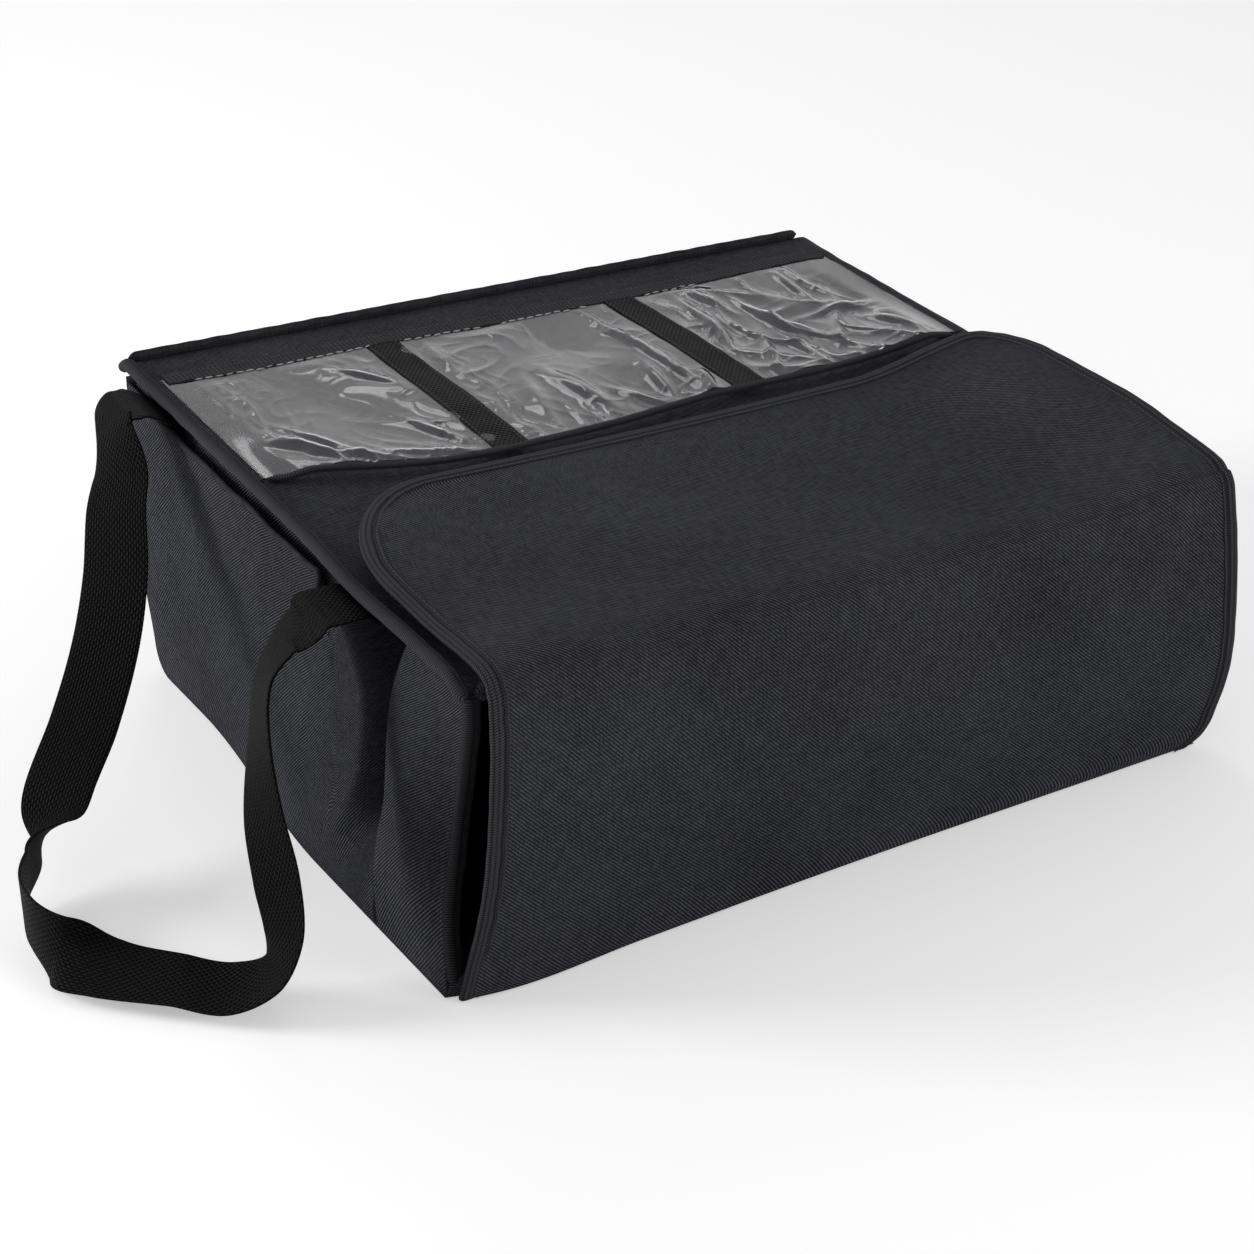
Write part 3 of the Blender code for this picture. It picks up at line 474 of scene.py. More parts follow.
# %% [markdown]
# ## Weave
# The bag's oxford cloth is two sets of threads that cross, with slanting lines where they pass over
# each other. Sine waves on the cloth's own UV map give it at any pitch, and slow noise wavers the
# threads, because a perfectly even weave looks printed. It returns in many cloths, so it is a group.

# %% Weave group


def make_weave():
    """Twill cloth: slanting lines, broken by two crossing sets of threads of uneven thickness."""
    group, taken, given = new_group(
        "weave",
        (("Vector", "NodeSocketVector", None), ("Pitch", "NodeSocketFloat", 0.0022),
         ("Twill", "NodeSocketFloat", 0.5)),
        (("Height", "NodeSocketFloat"), ("Thread", "NodeSocketFloat")),
    )
    board = Board(group)
    vector = taken.outputs["Vector"]
    u, v, _ = board.split(vector)
    turns = board.math("DIVIDE", 2 * math.pi, taken.outputs["Pitch"])
    waver = board.math("MULTIPLY", board.math("SUBTRACT", board.noise(vector, 130), 0.5), 2.2)
    a = board.math("SINE", board.math("MULTIPLY_ADD", u, turns, waver))
    b = board.math("SINE", board.math("MULTIPLY_ADD", v, turns, waver))
    plain = board.math("POWER", board.math("ABSOLUTE", board.math("MULTIPLY", a, b)), 0.6)
    line = board.math("SINE", board.math("MULTIPLY_ADD", board.math("ADD", u, v), turns, waver))
    line = board.math("POWER", board.math("MULTIPLY_ADD", line, 0.5, 0.5), 1.4)
    weft, warp = (board.noise(board.scaled(vector, *way), 1.0, 1.0) for way in ((90, 900), (900, 90)))
    slubs = board.ramp(board.math("ADD", weft, warp), 0.80, 1.20, 0.50, 1.0)
    plain = board.math("MULTIPLY", plain, board.math("SUBTRACT", 1.0, taken.outputs["Twill"]))
    height = board.math("ADD", plain, board.math("MULTIPLY", line, taken.outputs["Twill"]))
    board.link(height, given.inputs["Height"])
    # Thread, which colours the cloth, is the threads' height: painted shade in the gaps and a painted
    # highlight on the crowns, times the slubs' real uneven thickness.
    board.link(board.math("MULTIPLY", height, slubs), given.inputs["Thread"])
    return group


weave = make_weave()
print("nodes in the weave:", len(weave.nodes))

# %% [markdown]
# ## Wear
# Cloth that was folded and handled is cloudy in tone and holds a little pale lint. Both follow the
# place on the bag and not the weave, so they run on from one panel to the next.

# %% Wear group


def make_wear():
    """Cloudy change of tone, 0 to 1, and small specks of lint."""
    group, taken, given = new_group(
        "wear",
        (("Vector", "NodeSocketVector", None), ("Lint", "NodeSocketFloat", 0.5)),
        (("Cloud", "NodeSocketFloat"), ("Lint", "NodeSocketFloat")),
    )
    board = Board(group)
    cloud = board.noise(taken.outputs["Vector"], 9.0, 5.0, 0.6)
    board.link(board.ramp(cloud, 0.3, 0.7), given.inputs["Cloud"])
    lint = board.ramp(board.noise(taken.outputs["Vector"], 420.0, 2.0, 0.7), 0.70, 0.80)
    board.link(board.math("MULTIPLY", lint, taken.outputs["Lint"]), given.inputs["Lint"])
    return group


wear = make_wear()
print("nodes in the wear:", len(wear.nodes))

# %% [markdown]
# ## Ribs
# Webbing and binding tape are woven with ribs across them, broken into rows of small knots. Each row
# is shifted by half a rib against the next one, as in the real tape.

# %% Ribs group


def make_ribs():
    """Webbing and binding tape: ribs across the tape, broken up by rows of threads along it."""
    group, taken, given = new_group(
        "ribs",
        (("Vector", "NodeSocketVector", None), ("Rib", "NodeSocketFloat", 0.002),
         ("Row", "NodeSocketFloat", 0.0022), ("Slant", "NodeSocketFloat", 0.0)),
        (("Height", "NodeSocketFloat"), ("Thread", "NodeSocketFloat")),
    )
    board = Board(group)
    u, v, _ = board.split(taken.outputs["Vector"])
    leaning = board.math("ADD", v, board.math("MULTIPLY", u, taken.outputs["Slant"]))
    across = board.math("MULTIPLY", board.math("DIVIDE", u, taken.outputs["Row"]), math.pi)
    along = board.math("MULTIPLY", board.math("DIVIDE", leaning, taken.outputs["Rib"]), math.pi)
    row = board.math("SINE", across)
    turn = board.math("MULTIPLY", board.math("GREATER_THAN", row, 0.0), math.pi / 2)
    rib = board.math("ABSOLUTE", board.math("SINE", board.math("ADD", along, turn)))
    crown = board.math("POWER", board.math("ABSOLUTE", row), 0.5)
    height = board.math("MULTIPLY", board.math("POWER", rib, 0.7), crown)
    board.link(height, given.inputs["Height"])
    # Thread, which colours the tape, is painted shade between the ribs and knots and a painted highlight on
    # their crowns.
    board.link(board.math("MULTIPLY", rib, crown), given.inputs["Thread"])
    return group


ribs = make_ribs()
print("nodes in the ribs:", len(ribs.nodes))

# %% [markdown]
# ## Cloth materials
# Each cloth is a Principled shader. Its colour is near black between the threads and paler on their
# crowns, which is painted shade in the gaps and a painted highlight on the crowns over the threads' own
# uneven tone. The same threads raise a bump, and the cloudy wear changes the roughness a little.

# %% Material maker


def cloth_look(name, dark, light, pattern, values, relief, rough, sheen, lint, specular=0.35):
    """A cloth's material: its two tones, thread pattern and relief, and then what its surface is like."""
    made = bpy.data.materials.new(name)
    made.use_nodes = True
    tree = made.node_tree
    board = Board(tree)
    shader = tree.nodes["Principled BSDF"]
    place = tree.nodes.new("ShaderNodeUVMap")
    place.uv_map = "cloth"
    threads = tree.nodes.new("ShaderNodeGroup")
    threads.node_tree = pattern
    board.link(place.outputs[0], threads.inputs["Vector"])
    for label, value in values.items():
        threads.inputs[label].default_value = value
    worn = tree.nodes.new("ShaderNodeGroup")
    worn.node_tree = wear
    body = tree.nodes.new("ShaderNodeTexCoord")
    board.link(body.outputs["Object"], worn.inputs["Vector"])
    worn.inputs["Lint"].default_value = lint
    cloud = board.math("MULTIPLY", worn.outputs["Cloud"], 0.15)
    # The thread tone is painted shade between the threads and a painted highlight on their crowns; the cloud
    # and the lint are real wear.
    thread_shade_and_wear = board.math("MULTIPLY_ADD", threads.outputs["Thread"], 0.85, cloud)
    thread_shade_and_wear = board.math("ADD", thread_shade_and_wear, worn.outputs["Lint"], clamp=True)
    board.link(board.colour(thread_shade_and_wear, dark, light), shader.inputs["Base Color"])
    board.link(board.ramp(worn.outputs["Cloud"], 0, 1, *rough), shader.inputs["Roughness"])
    shader.inputs["Sheen Weight"].default_value = sheen
    shader.inputs["Sheen Roughness"].default_value = 0.45
    shader.inputs["Specular IOR Level"].default_value = specular
    bump = tree.nodes.new("ShaderNodeBump")
    bump.inputs["Strength"].default_value = 1.0
    bump.inputs["Distance"].default_value = relief
    board.link(threads.outputs["Height"], bump.inputs["Height"])
    board.link(bump.outputs[0], shader.inputs["Normal"])
    return made


print("thread patterns to choose from:", weave.name, ribs.name)

# %% [markdown]
# ## The bag's cloths
# Tones and pitches come from the photograph: a coarse oxford twill, finer folded edges and binding
# tape, all matt, and blacker, smoother webbing with rows of small knots. The hidden lining is a fine
# plain cloth, and the hook and loop tapes are rough.

# %% Cloths

oxford = cloth_look("black_oxford", (0.0010, 0.0010, 0.0014), (0.150, 0.153, 0.176), weave,
                    {"Pitch": 0.0024, "Twill": 0.85}, 0.0009, (0.75, 0.9), 0.0, 0.15, 0.03)
hem_look = cloth_look("folded_edge", (0.001, 0.001, 0.0013), (0.085, 0.087, 0.100), weave,
                      {"Pitch": 0.0012, "Twill": 0.6}, 0.0002, (0.75, 0.9), 0.0, 0.15, 0.03)
binding_look = cloth_look("binding_tape", (0.001, 0.001, 0.0012), (0.080, 0.081, 0.090), ribs,
                          {"Rib": 0.0015, "Row": 0.0030, "Slant": 0.35}, 0.0004, (0.7, 0.85), 0.0, 0.15, 0.04)
webbing_look = cloth_look("black_webbing", (0.0003, 0.0003, 0.0003), (0.012, 0.012, 0.0124), ribs,
                          {"Rib": 0.0042, "Row": 0.0017, "Slant": 0.0}, 0.0012, (0.40, 0.50), 0.0, 0.05, 0.04)
lining_look = cloth_look("dark_lining", (0.003, 0.003, 0.0034), (0.010, 0.010, 0.011), weave,
                         {"Pitch": 0.0010, "Twill": 0.1}, 0.00015, (0.5, 0.65), 0.0, 0.1)
hook_look = cloth_look("hook_and_loop", (0.002, 0.002, 0.002), (0.018, 0.018, 0.019), weave,
                       {"Pitch": 0.0012, "Twill": 0.0}, 0.0010, (0.95, 1.0), 0.1, 0.2)
thread_look = cloth_look("grey_thread", (0.030, 0.030, 0.032), (0.100, 0.100, 0.106), weave,
                         {"Pitch": 0.0008, "Twill": 1.0}, 0.0001, (0.5, 0.6), 0.0, 0.0, 0.3)
# The vinyl edge's beads are pale: a painted highlight for the glint of the vinyl's cut edge.
glint_look = cloth_look("vinyl_edge_painted_glint", (0.25, 0.25, 0.25), (0.80, 0.80, 0.80), weave,
                        {"Pitch": 0.0030, "Twill": 0.5}, 0.0001, (0.25, 0.4), 0.0, 0.0, 0.5)
print("cloths:", len(bpy.data.materials))

# %% [markdown]
# ## Clear vinyl
# The pocket windows are soft clear vinyl. It is a glassy sheet that shows the dark cloth under it
# and mirrors the bright room along every crinkle, with a slight haze where it was handled.

# %% Vinyl


def make_vinyl():
    """Clear sheet with a slow haze and the faintest ripple."""
    made = bpy.data.materials.new("clear_vinyl")
    made.use_nodes = True
    tree = made.node_tree
    board = Board(tree)
    shader = tree.nodes["Principled BSDF"]
    place = tree.nodes.new("ShaderNodeTexCoord").outputs["Object"]
    haze = board.ramp(board.noise(place, 35.0, 4.0), 0.35, 0.75)
    board.link(board.colour(haze, (0.82, 0.82, 0.83), (0.72, 0.72, 0.73)), shader.inputs["Base Color"])
    board.link(board.ramp(haze, 0, 1, 0.05, 0.11), shader.inputs["Roughness"])
    shader.inputs["Transmission Weight"].default_value = 1.0
    shader.inputs["IOR"].default_value = 1.33
    bump = tree.nodes.new("ShaderNodeBump")
    bump.inputs["Distance"].default_value = 0.0001
    board.link(board.noise(place, 45.0, 1.0), bump.inputs["Height"])
    board.link(bump.outputs[0], shader.inputs["Normal"])
    return made


vinyl = make_vinyl()
print("materials:", len(bpy.data.materials))

# %% [markdown]
# ## Padded walls
# Top, back, base and side walls are each cloth over foam with a lining inside. Each is one closed
# pad here, oxford outside and lining inside, with slow swells that die away at its seams. The foam
# boards and sewn edges hold this bag in shape, so swells set in code serve it better than a cloth
# simulation, and they keep its true size.

# %% Walls


def wall_grid(columns, rows):
    """Shares across and along a sheet, as two grids."""
    return np.meshgrid(np.linspace(0, 1, columns), np.linspace(0, 1, rows))


def stack(x, y, z):
    """Points from their three coordinates."""
    return np.stack(np.broadcast_arrays(x, y, z), axis=-1)


def top_relief(x, y):
    """Swells of the top's cloth, in metres."""
    inside = smooth((WIDTH / 2 - np.abs(x)) / 0.03) * smooth((y - mouth_line(1.0)) / 0.02)
    return 0.0009 * waves(x, y, 3, 0.16) * (inside * smooth((BACK_Y - y) / 0.02)) - 0.0004


def top_surface(x, y):
    """Height of the top's cloth with its swells."""
    return top_height(x, y) + top_relief(x, y)


across, along = wall_grid(150, 120)
x = mix(-WIDTH / 2, WIDTH / 2, across)
y = mix(mouth_line(1.0), BACK_Y, along)
top_face = stack(x, y, top_surface(x, y))
inset_x, inset_y = x * (1 - 2 * WALL / WIDTH), np.minimum(y, BACK_Y - WALL)
top_back = stack(inset_x, inset_y, top_height(x, y) - WALL)
top_pad = grid_cloth("top_pad", top_face, top_back, [oxford, lining_look])
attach(top_pad, "bag")
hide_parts("top_panel", "top_foam", "top_lining")
print("points in the top's pad:", len(top_pad.data.vertices))

# %% [markdown]
# ## Back and base
# The back turns up out of the base in a round foot, leans in and swells a little. The base is flat on
# the floor, and in front it reaches out to the flap's foot, which is sewn to it.

# %% Back and base

BACK_FOOT_SHARE, BACK_TOP_GAP = 0.25, 0.0006


def back_surface(across, along, depth):
    """Points of the back, from its round foot up, drawn in by a depth."""
    half = WIDTH / 2 - depth
    x = mix(-half, half, across)
    turn = np.clip(along / BACK_FOOT_SHARE, 0, 1) * math.pi / 2
    radius = BACK_FOOT_RADIUS - depth
    foot_y = BACK_Y - BACK_LEAN - BACK_FOOT_RADIUS + radius * np.sin(turn)
    foot_z = BACK_FOOT_RADIUS - radius * np.cos(turn)
    top = edge_height(x, BACK_Y) - WALL - BACK_TOP_GAP
    wall_share = (along - BACK_FOOT_SHARE) / (1 - BACK_FOOT_SHARE)
    z = np.where(along < BACK_FOOT_SHARE, foot_z, mix(BACK_FOOT_RADIUS, top, wall_share))
    rise = np.clip((z - BACK_FOOT_RADIUS) / (edge_height(x, BACK_Y) - BACK_FOOT_RADIUS), 0, 1)
    lean = BACK_Y - depth - BACK_LEAN * (1 - smooth(rise / BACK_UPRIGHT_SHARE))
    y = np.where(along < BACK_FOOT_SHARE, foot_y, lean)
    swell = BACK_BULGE * np.sin(math.pi * (x / WIDTH + 0.5)) * np.sin(math.pi * smooth(rise))
    ripple = 0.0007 * waves(x, z, 8, 0.11) * np.sin(math.pi * across) * np.sin(math.pi * rise)
    return stack(x, y + swell + ripple, z)


across, along = wall_grid(140, 90)
back_face, back_inside = back_surface(across, along, 0), back_surface(across, along, WALL)
back_pad = grid_cloth("back_pad", back_face, back_inside, [oxford, lining_look])
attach(back_pad, "bag")
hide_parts("back_panel", "back_foam", "back_lining")

across, along = wall_grid(60, 50)
near = mouth_line(0.0) + 0.001
corner = smooth((0.5 - np.abs(across - 0.5)) / 0.04)
reach = np.minimum(foot_line((across - 0.5) * WIDTH) + 0.0045 - near, 0) * corner
y = mix(near + reach, BACK_Y - BACK_LEAN - BACK_FOOT_RADIUS, along)
x = mix(side_x(-1, y, 0, 0), side_x(1, y, 0, 0), across)
base_lift = 0.0003 * waves(x, y, 12, 0.2) * np.sin(math.pi * across) * np.sin(math.pi * along)
base_face = stack(x, y, np.abs(base_lift))
base_inside = stack(x * (1 - 2 * WALL / WIDTH), y, WALL + base_lift)
base_pad = grid_cloth("base_pad", base_face, base_inside, [oxford, lining_look])
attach(base_pad, "bag")
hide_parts("bottom_panel", "bottom_foam", "bottom_lining")
print("walls:", top_pad.name, back_pad.name, base_pad.name)

# %% [markdown]
# ## Sheets of a side
# A side is a padded wall with two skins over it: the puffed gusset beside the mouth, and the long
# sleeve behind it that the handle's ends are sewn into. Each is a grid between a front and a rear
# line on the side's own surface, so the valley behind the gusset runs through all of them.

# %% Side sheets

MOUTH_WALL, SLEEVE_LIP = 0.0012, 0.0035
# The sleeve's hem: places along the side, and how far under the top's edge it runs there.
HEM_DROPS = (-0.150, -0.120, -0.092, -0.053, -0.050), (0.012, 0.018, 0.021, 0.034, SLEEVE_DROP)


def side_grid(side, front, rear, top_drop, margin, columns, rows, depth, relief=0.0, lip=0.0):
    """Points of one sheet of a side between its front and rear lines, from its foot to its top edge.

    relief raises creases, and lip lets the sheet's top edge stand off behind the fold."""
    across, along = wall_grid(columns, rows)
    y = np.zeros_like(across)
    for _ in range(4):
        edge = side_top(side, y)
        z = mix(margin, edge - top_drop(y), along)
        up = z / edge
        y = mix(front(up), rear(up, z), across)
    if callable(depth):
        depth = depth(y, up)
    out = side_x(side, y, z, depth)
    open_hem = smooth((y + 0.052) / 0.006) * smooth((BACK_Y - 0.014 - y) / 0.03)
    out = out + side * lip * smooth((along - 0.88) / 0.10) * open_hem
    if relief:
        still = np.sin(math.pi * np.clip(along * 0.96 + 0.02, 0, 1))
        still = still * smooth(across / 0.06) * smooth((1 - across) / 0.06)
        creases = 0.5 * waves(y, z, 21 + side, 0.07) + 0.8 * crests(y, z * 0.6, 30 + side, 0.12) - 0.3
        out = out + side * relief * still * creases
    return stack(out, y, z)


print("the hem falls from", HEM_DROPS[1][0], "to", max(HEM_DROPS[1]), "m under the top's edge")

# %% [markdown]
# ## Pads, gussets and sleeves
# Both sides have the same three pieces, so one function makes them. The right side, which the
# photograph doesn't show, has creases of its own.

# %% Side pads, gussets and sleeves


def make_side(side, name):
    """One side's pad, gusset and sleeve. Gives back the line of the sleeve's hem."""

    def rear_line(up, z):
        return back_line(side * WIDTH / 2, z, 0.0015) - GAP

    def wall_drop(y):
        return side_top(side, y) - top_height(side * (WIDTH / 2 - SIDE_STACK), y) + WALL + GAP

    def inner_depth(y, up):
        thinner = (WALL - MOUTH_WALL) * (1 - smooth((y - mouth_line(up)) / 0.025))
        return SIDE_STACK - thinner

    face = side_grid(side, mouth_line, rear_line, wall_drop, WALL, 110, 60, SIDE_WALL_DEPTH)
    back = side_grid(side, mouth_line, rear_line, wall_drop, WALL, 110, 60, inner_depth)
    pad = grid_cloth(f"{name}_side_pad", face, back, [oxford, lining_look])
    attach(pad, "bag")
    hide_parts(f"{name}_side_wall", f"{name}_side_foam", f"{name}_side_lining")

    def gusset_drop(y):
        return 0.0015

    def seam_rear(up, z):
        return seam_line(up)

    face = side_grid(side, mouth_line, seam_rear, gusset_drop, FABRIC, 60, 110, 0.0, 0.0011)
    back = side_grid(side, mouth_line, seam_rear, gusset_drop, FABRIC, 60, 110, FABRIC)
    gusset = grid_cloth(f"{name}_gusset", face, back, [oxford, lining_look])
    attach(gusset, "bag")
    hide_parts(f"{name}_front_gusset")

    def sleeve_drop(y):
        return np.interp(y, *HEM_DROPS) - 0.0006 * waves(y, 0 * y, 44, 0.05)

    def seam_front(up):
        return seam_line(up) + 0.0006

    face = side_grid(side, seam_front, rear_line, sleeve_drop, FABRIC, 190, 110, 0.0, 0.0012, SLEEVE_LIP)
    back = side_grid(side, seam_front, rear_line, sleeve_drop, FABRIC, 190, 110, FABRIC, 0.0, SLEEVE_LIP)
    sleeve = grid_cloth(f"{name}_sleeve", face, back, [oxford, lining_look])
    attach(sleeve, "bag")
    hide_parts(f"{name}_side_sleeve")
    return face[-1]


hem_lines = {name: make_side(side, name) for side, name in ((-1, "left"), (1, "right"))}
print("side skins made:", ", ".join(hem_lines))

# %% [markdown]
# ## The flap's line
# The flap is one padded board of cloth from its sewn foot to its free end. Its line is a smooth
# curve: foot, swelling front, round bend, and the run along the top. Its height changes across the
# bag, and its right end stands up a little.

# %% Flap line

# The flap's line: shares of its height and bulge in front, then of the way to its free end.
FLAP_FRONT = ((0, 0), (0.14, 0.26), (0.30, 0.68), (0.46, 0.96), (0.62, 1.0), (0.76, 0.86))
FLAP_TOP = (0.16, 0.34, 0.55, 0.78, 1.0)
BEND_SHARE = 7.5 / 14
FLAP_MIDDLE_Y = FLAP_FOOT_Y + FLAP_BEND_RADIUS - FLAP_BULGE * 0.62
RIM = 0.0030


def flap_raise(x, share):
    """How far the flap's right end stands up, most near its free corner, where it lies on the piping."""
    return smooth((x - 0.130) / 0.10) * (mix(0.0075, 0.0150, smooth(share / 0.3)) - 0.0015 * share)


def flap_lines(x):
    """The flap's outer line at each place across, as an array of points by places."""
    foot = foot_line(x) - FLAP_FOOT_Y
    height = edge_height(x, MOUTH_Y) + FLAP_LIFT + flap_raise(x, 0.0)
    rows = []
    for up_share, out_share in FLAP_FRONT:
        y = FLAP_FOOT_Y + foot * (1 - smooth(up_share / 0.4)) - FLAP_BULGE * out_share
        rows.append(stack(x, y, mix(0.0015, height, up_share)))
    for turn in (0, 30, 60, 90):
        angle = math.radians(turn)
        lift = height - FLAP_BEND_RADIUS + FLAP_BEND_RADIUS * math.sin(angle)
        rows.append(stack(x, FLAP_MIDDLE_Y - FLAP_BEND_RADIUS * math.cos(angle), lift))
    for share in FLAP_TOP:
        rows.append(stack(x, mix(FLAP_MIDDLE_Y, FLAP_FREE_Y, share), lying_height(x, share)))
    return np.array(rows)


def lying_height(x, share):
    """Height of the flap's lying half, at a share of the way from its bend to its free end."""
    y = mix(FLAP_MIDDLE_Y, FLAP_FREE_Y, share)
    start = edge_height(x, MOUTH_Y) + FLAP_LIFT
    flat = mix(start, top_height(x, np.maximum(y, MOUTH_Y)) + FLAP_LIFT, smooth(share / 0.3))
    return flat + flap_raise(x, share)


print("places in the flap's line:", len(flap_lines(np.array([0.0]))))

# %% [markdown]
# ## The flap's ends
# Both ends are cut in a slight curve, and the free corners are round. Tables of a few places, read
# as smooth lines, keep them easy to change.

# %% Flap ends

# The flap's ends: heights and X of the standing half, then Y and X of the lying half. Its free corners
# are ovals of a width and a length.
EDGES_STANDING = {
    -1: ((0.001, 0.006, 0.012, 0.038, 0.068, 0.098, 0.129, 0.166, 0.190),
         (-0.2640, -0.2635, -0.2625, -0.2590, -0.2565, -0.2550, -0.2525, -0.2480, -0.2460)),
    1: ((0.001, 0.006, 0.013, 0.030, 0.060, 0.100, 0.190),
        (0.2480, 0.2570, 0.2620, 0.2640, 0.2600, 0.2535, 0.2500)),
}
EDGES_LYING = {
    -1: ((-0.235, -0.190, -0.159, -0.130, -0.012), (-0.2455, -0.2455, -0.2470, -0.2470, -0.2460)),
    1: ((-0.235, -0.190, -0.100, -0.012), (0.2485, 0.249, 0.2495, 0.248)),
}
CORNERS = {-1: (0.080, 0.110), 1: (0.035, 0.050)}


def flap_edge(side, here, standing):
    """X of the flap's left or right end, beside a point of its middle line."""
    if standing:
        return line_through(here[2], *EDGES_STANDING[side])
    wide, long = CORNERS[side]
    over = np.clip(1 - (FLAP_FREE_Y - here[1]) / long, 0, 1)
    return line_through(here[1], *EDGES_LYING[side]) - side * wide * (1 - np.sqrt(1 - over**2))


def flap_edges(along):
    """X of the flap's left and right ends, at a share of its line."""
    here = curve_through(flap_lines(np.array([0.0])), along)[0]
    return [flap_edge(side, here, along < BEND_SHARE) for side in (-1, 1)]


print("flap's ends at its foot, X in m:", [round(float(x), 4) for x in flap_edges(0.0)])

# %% [markdown]
# ## Flap pad
# The flap is one pad that bends where the model's two halves part. Long soft creases cross its front
# and gather near the right end, and it thins to its rim, where the binding folds over it.

# %% Flap pad


def flap_row(along, x):
    """The flap's points and inward directions along one row."""
    lines = flap_lines(x)
    here = curve_through(lines, along)
    run = unit(curve_through(lines, min(along + 0.002, 1)) - curve_through(lines, max(along - 0.002, 0)))
    inward = np.stack([np.zeros_like(x), run[:, 2], -run[:, 1]], axis=-1)
    return here, inward


def flap_relief(x, run):
    """Creases of the flap, outwards, from its place across and how far up the cloth it lies."""
    inside = smooth((x + 0.240) / 0.03) * smooth((0.247 - x) / 0.03)
    inside = inside * smooth(run / 0.03) * smooth((0.405 - run) / 0.03)
    swell = 0.0012 * waves(x, run, 61, 0.15, 1.3)
    soft = 0.0010 * (crests(x * 0.5, run, 71, 0.10) - 0.3)
    marks = 0.0022 * fold(x, run, (0.195, 0.165), 62, 0.045, 0.010)
    marks = marks - 0.0016 * fold(x, run, (0.212, 0.150), 66, 0.040, 0.008)
    marks = marks + 0.0014 * fold(x, run, (0.150, 0.240), 12, 0.060, 0.012)
    marks = marks - 0.0014 * fold(x, run, (-0.02, 0.105), 3, 0.120, 0.020)
    return (swell + soft + marks) * inside


def make_flap_pad():
    """The flap as one pad, in rows from its foot to its free end."""
    columns = 150
    alongs = 1 - (1 - np.linspace(0, 1, 170)) ** 1.15
    face, back = [], []
    run, before = 0.0, None
    spread = np.linspace(-1, 1, columns)
    spread = (spread + 0.6 * np.sin(math.pi * spread) / math.pi + 1) / 2
    for along in alongs:
        left, right = flap_edges(along)
        x = mix(left, right, spread)
        here, inward = flap_row(along, x)
        if before is not None:
            run += float(np.linalg.norm(here[columns // 2] - before))
        before = here[columns // 2]
        relief = flap_relief(x, run)
        room = np.minimum(x - left, right - x)
        room = np.minimum(room, FLAP_FREE_Y - here[:, 1] if along > BEND_SHARE else run)
        depth = mix(RIM, FLAP_STACK, smooth(room / 0.022))
        face.append(here - inward * relief[:, None])
        back.append(here + inward * (depth - 0.3 * relief)[:, None])
    print("flap's length along the cloth:", round(run, 3))
    return grid_cloth("flap_pad", np.array(face), np.array(back), [oxford, lining_look])


# The joint of the flap's halves, and two corners of a band of cloth round it.
bend_y, bend_z = -0.22975, 0.1902
bend_from, bend_to = (0, bend_y - 0.010, bend_z - 0.022), (0, bend_y + 0.022, bend_z + 0.010)
flap_pad = make_flap_pad()
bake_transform(flap_pad)
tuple(bend_from)
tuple(bend_to)
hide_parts("flap_front_panel", "flap_front_foam", "flap_front_lining",
            "flap_top_panel", "flap_top_foam", "flap_top_lining")

# %% [markdown]
# ## Edge bindings
# Raw edges are closed with tape folded over them. On the flap the tape is flat on both faces, so
# its section is a long slot shape round the pad's edge, carried from the left foot round the free
# end to the right foot.

# %% Flap binding


def flap_rim_path():
    """Centres, outward and up directions of the flap's edge, from the left foot to the right."""
    upward = np.array([0, 0, 1.0])
    rows = {-1: [], 1: []}
    for along in np.linspace(0, 0.98, 130):
        edges = np.array(flap_edges(along))
        here, inward = flap_row(along, edges)
        for side, spot in ((-1, 0), (1, 1)):
            corner_y = FLAP_FREE_Y - CORNERS[side][1]
            if along < BEND_SHARE or here[spot][1] < corner_y - 0.002:
                centre = here[spot] + inward[spot] * RIM / 2
                rows[side].append((centre, np.array([side, 0, 0.0]), -inward[spot]))
    for side, (wide, long) in CORNERS.items():
        for turn in np.linspace(0, math.pi / 2, 30):
            y = FLAP_FREE_Y - long * (1 - math.sin(turn))
            x = flap_edge(side, (0, y, 0), False)
            z = flap_row_height(x, y) - RIM / 2
            out = unit(np.array([side * math.cos(turn) / wide, math.sin(turn) / long, 0.0]))
            rows[side].append((np.array([x, y, z]), out, upward))
    path = list(rows[-1])
    start, end = rows[-1][-1][0][0], rows[1][-1][0][0]
    for x in np.linspace(start, end, 62)[1:-1]:
        centre = np.array([x, FLAP_FREE_Y, flap_row_height(x, FLAP_FREE_Y) - RIM / 2])
        path.append((centre, np.array([0, 1.0, 0]), upward))
    path += reversed(rows[1])
    return [np.array(column) for column in zip(*path)]


def flap_row_height(x, y):
    """Height of the flap's lying half over a place on the top."""
    return float(lying_height(x, (y - FLAP_MIDDLE_Y) / (FLAP_FREE_Y - FLAP_MIDDLE_Y)))


def fold_outline(reach, thick, lip, count=7):
    """A tape folded over an edge: from the inner end of its upper leg round the edge to the lower one."""
    turn = np.linspace(math.pi / 2, -math.pi / 2, count)
    nose = np.stack([np.cos(turn) * thick / 2 + lip, np.sin(turn) * thick / 2], axis=-1)
    top = thick / 2
    legs_top = np.array([
        (-reach, top - 0.0010), (-reach + 0.0005, top), (-reach + 0.0030, top + 0.0002),
        (-reach + 0.0036, top - 0.0007), (-reach + 0.0042, top + 0.0002), (-0.0012, top + 0.0002),
    ])
    legs_low = legs_top[::-1] * (1, -1)
    return np.concatenate([legs_top, nose, legs_low])


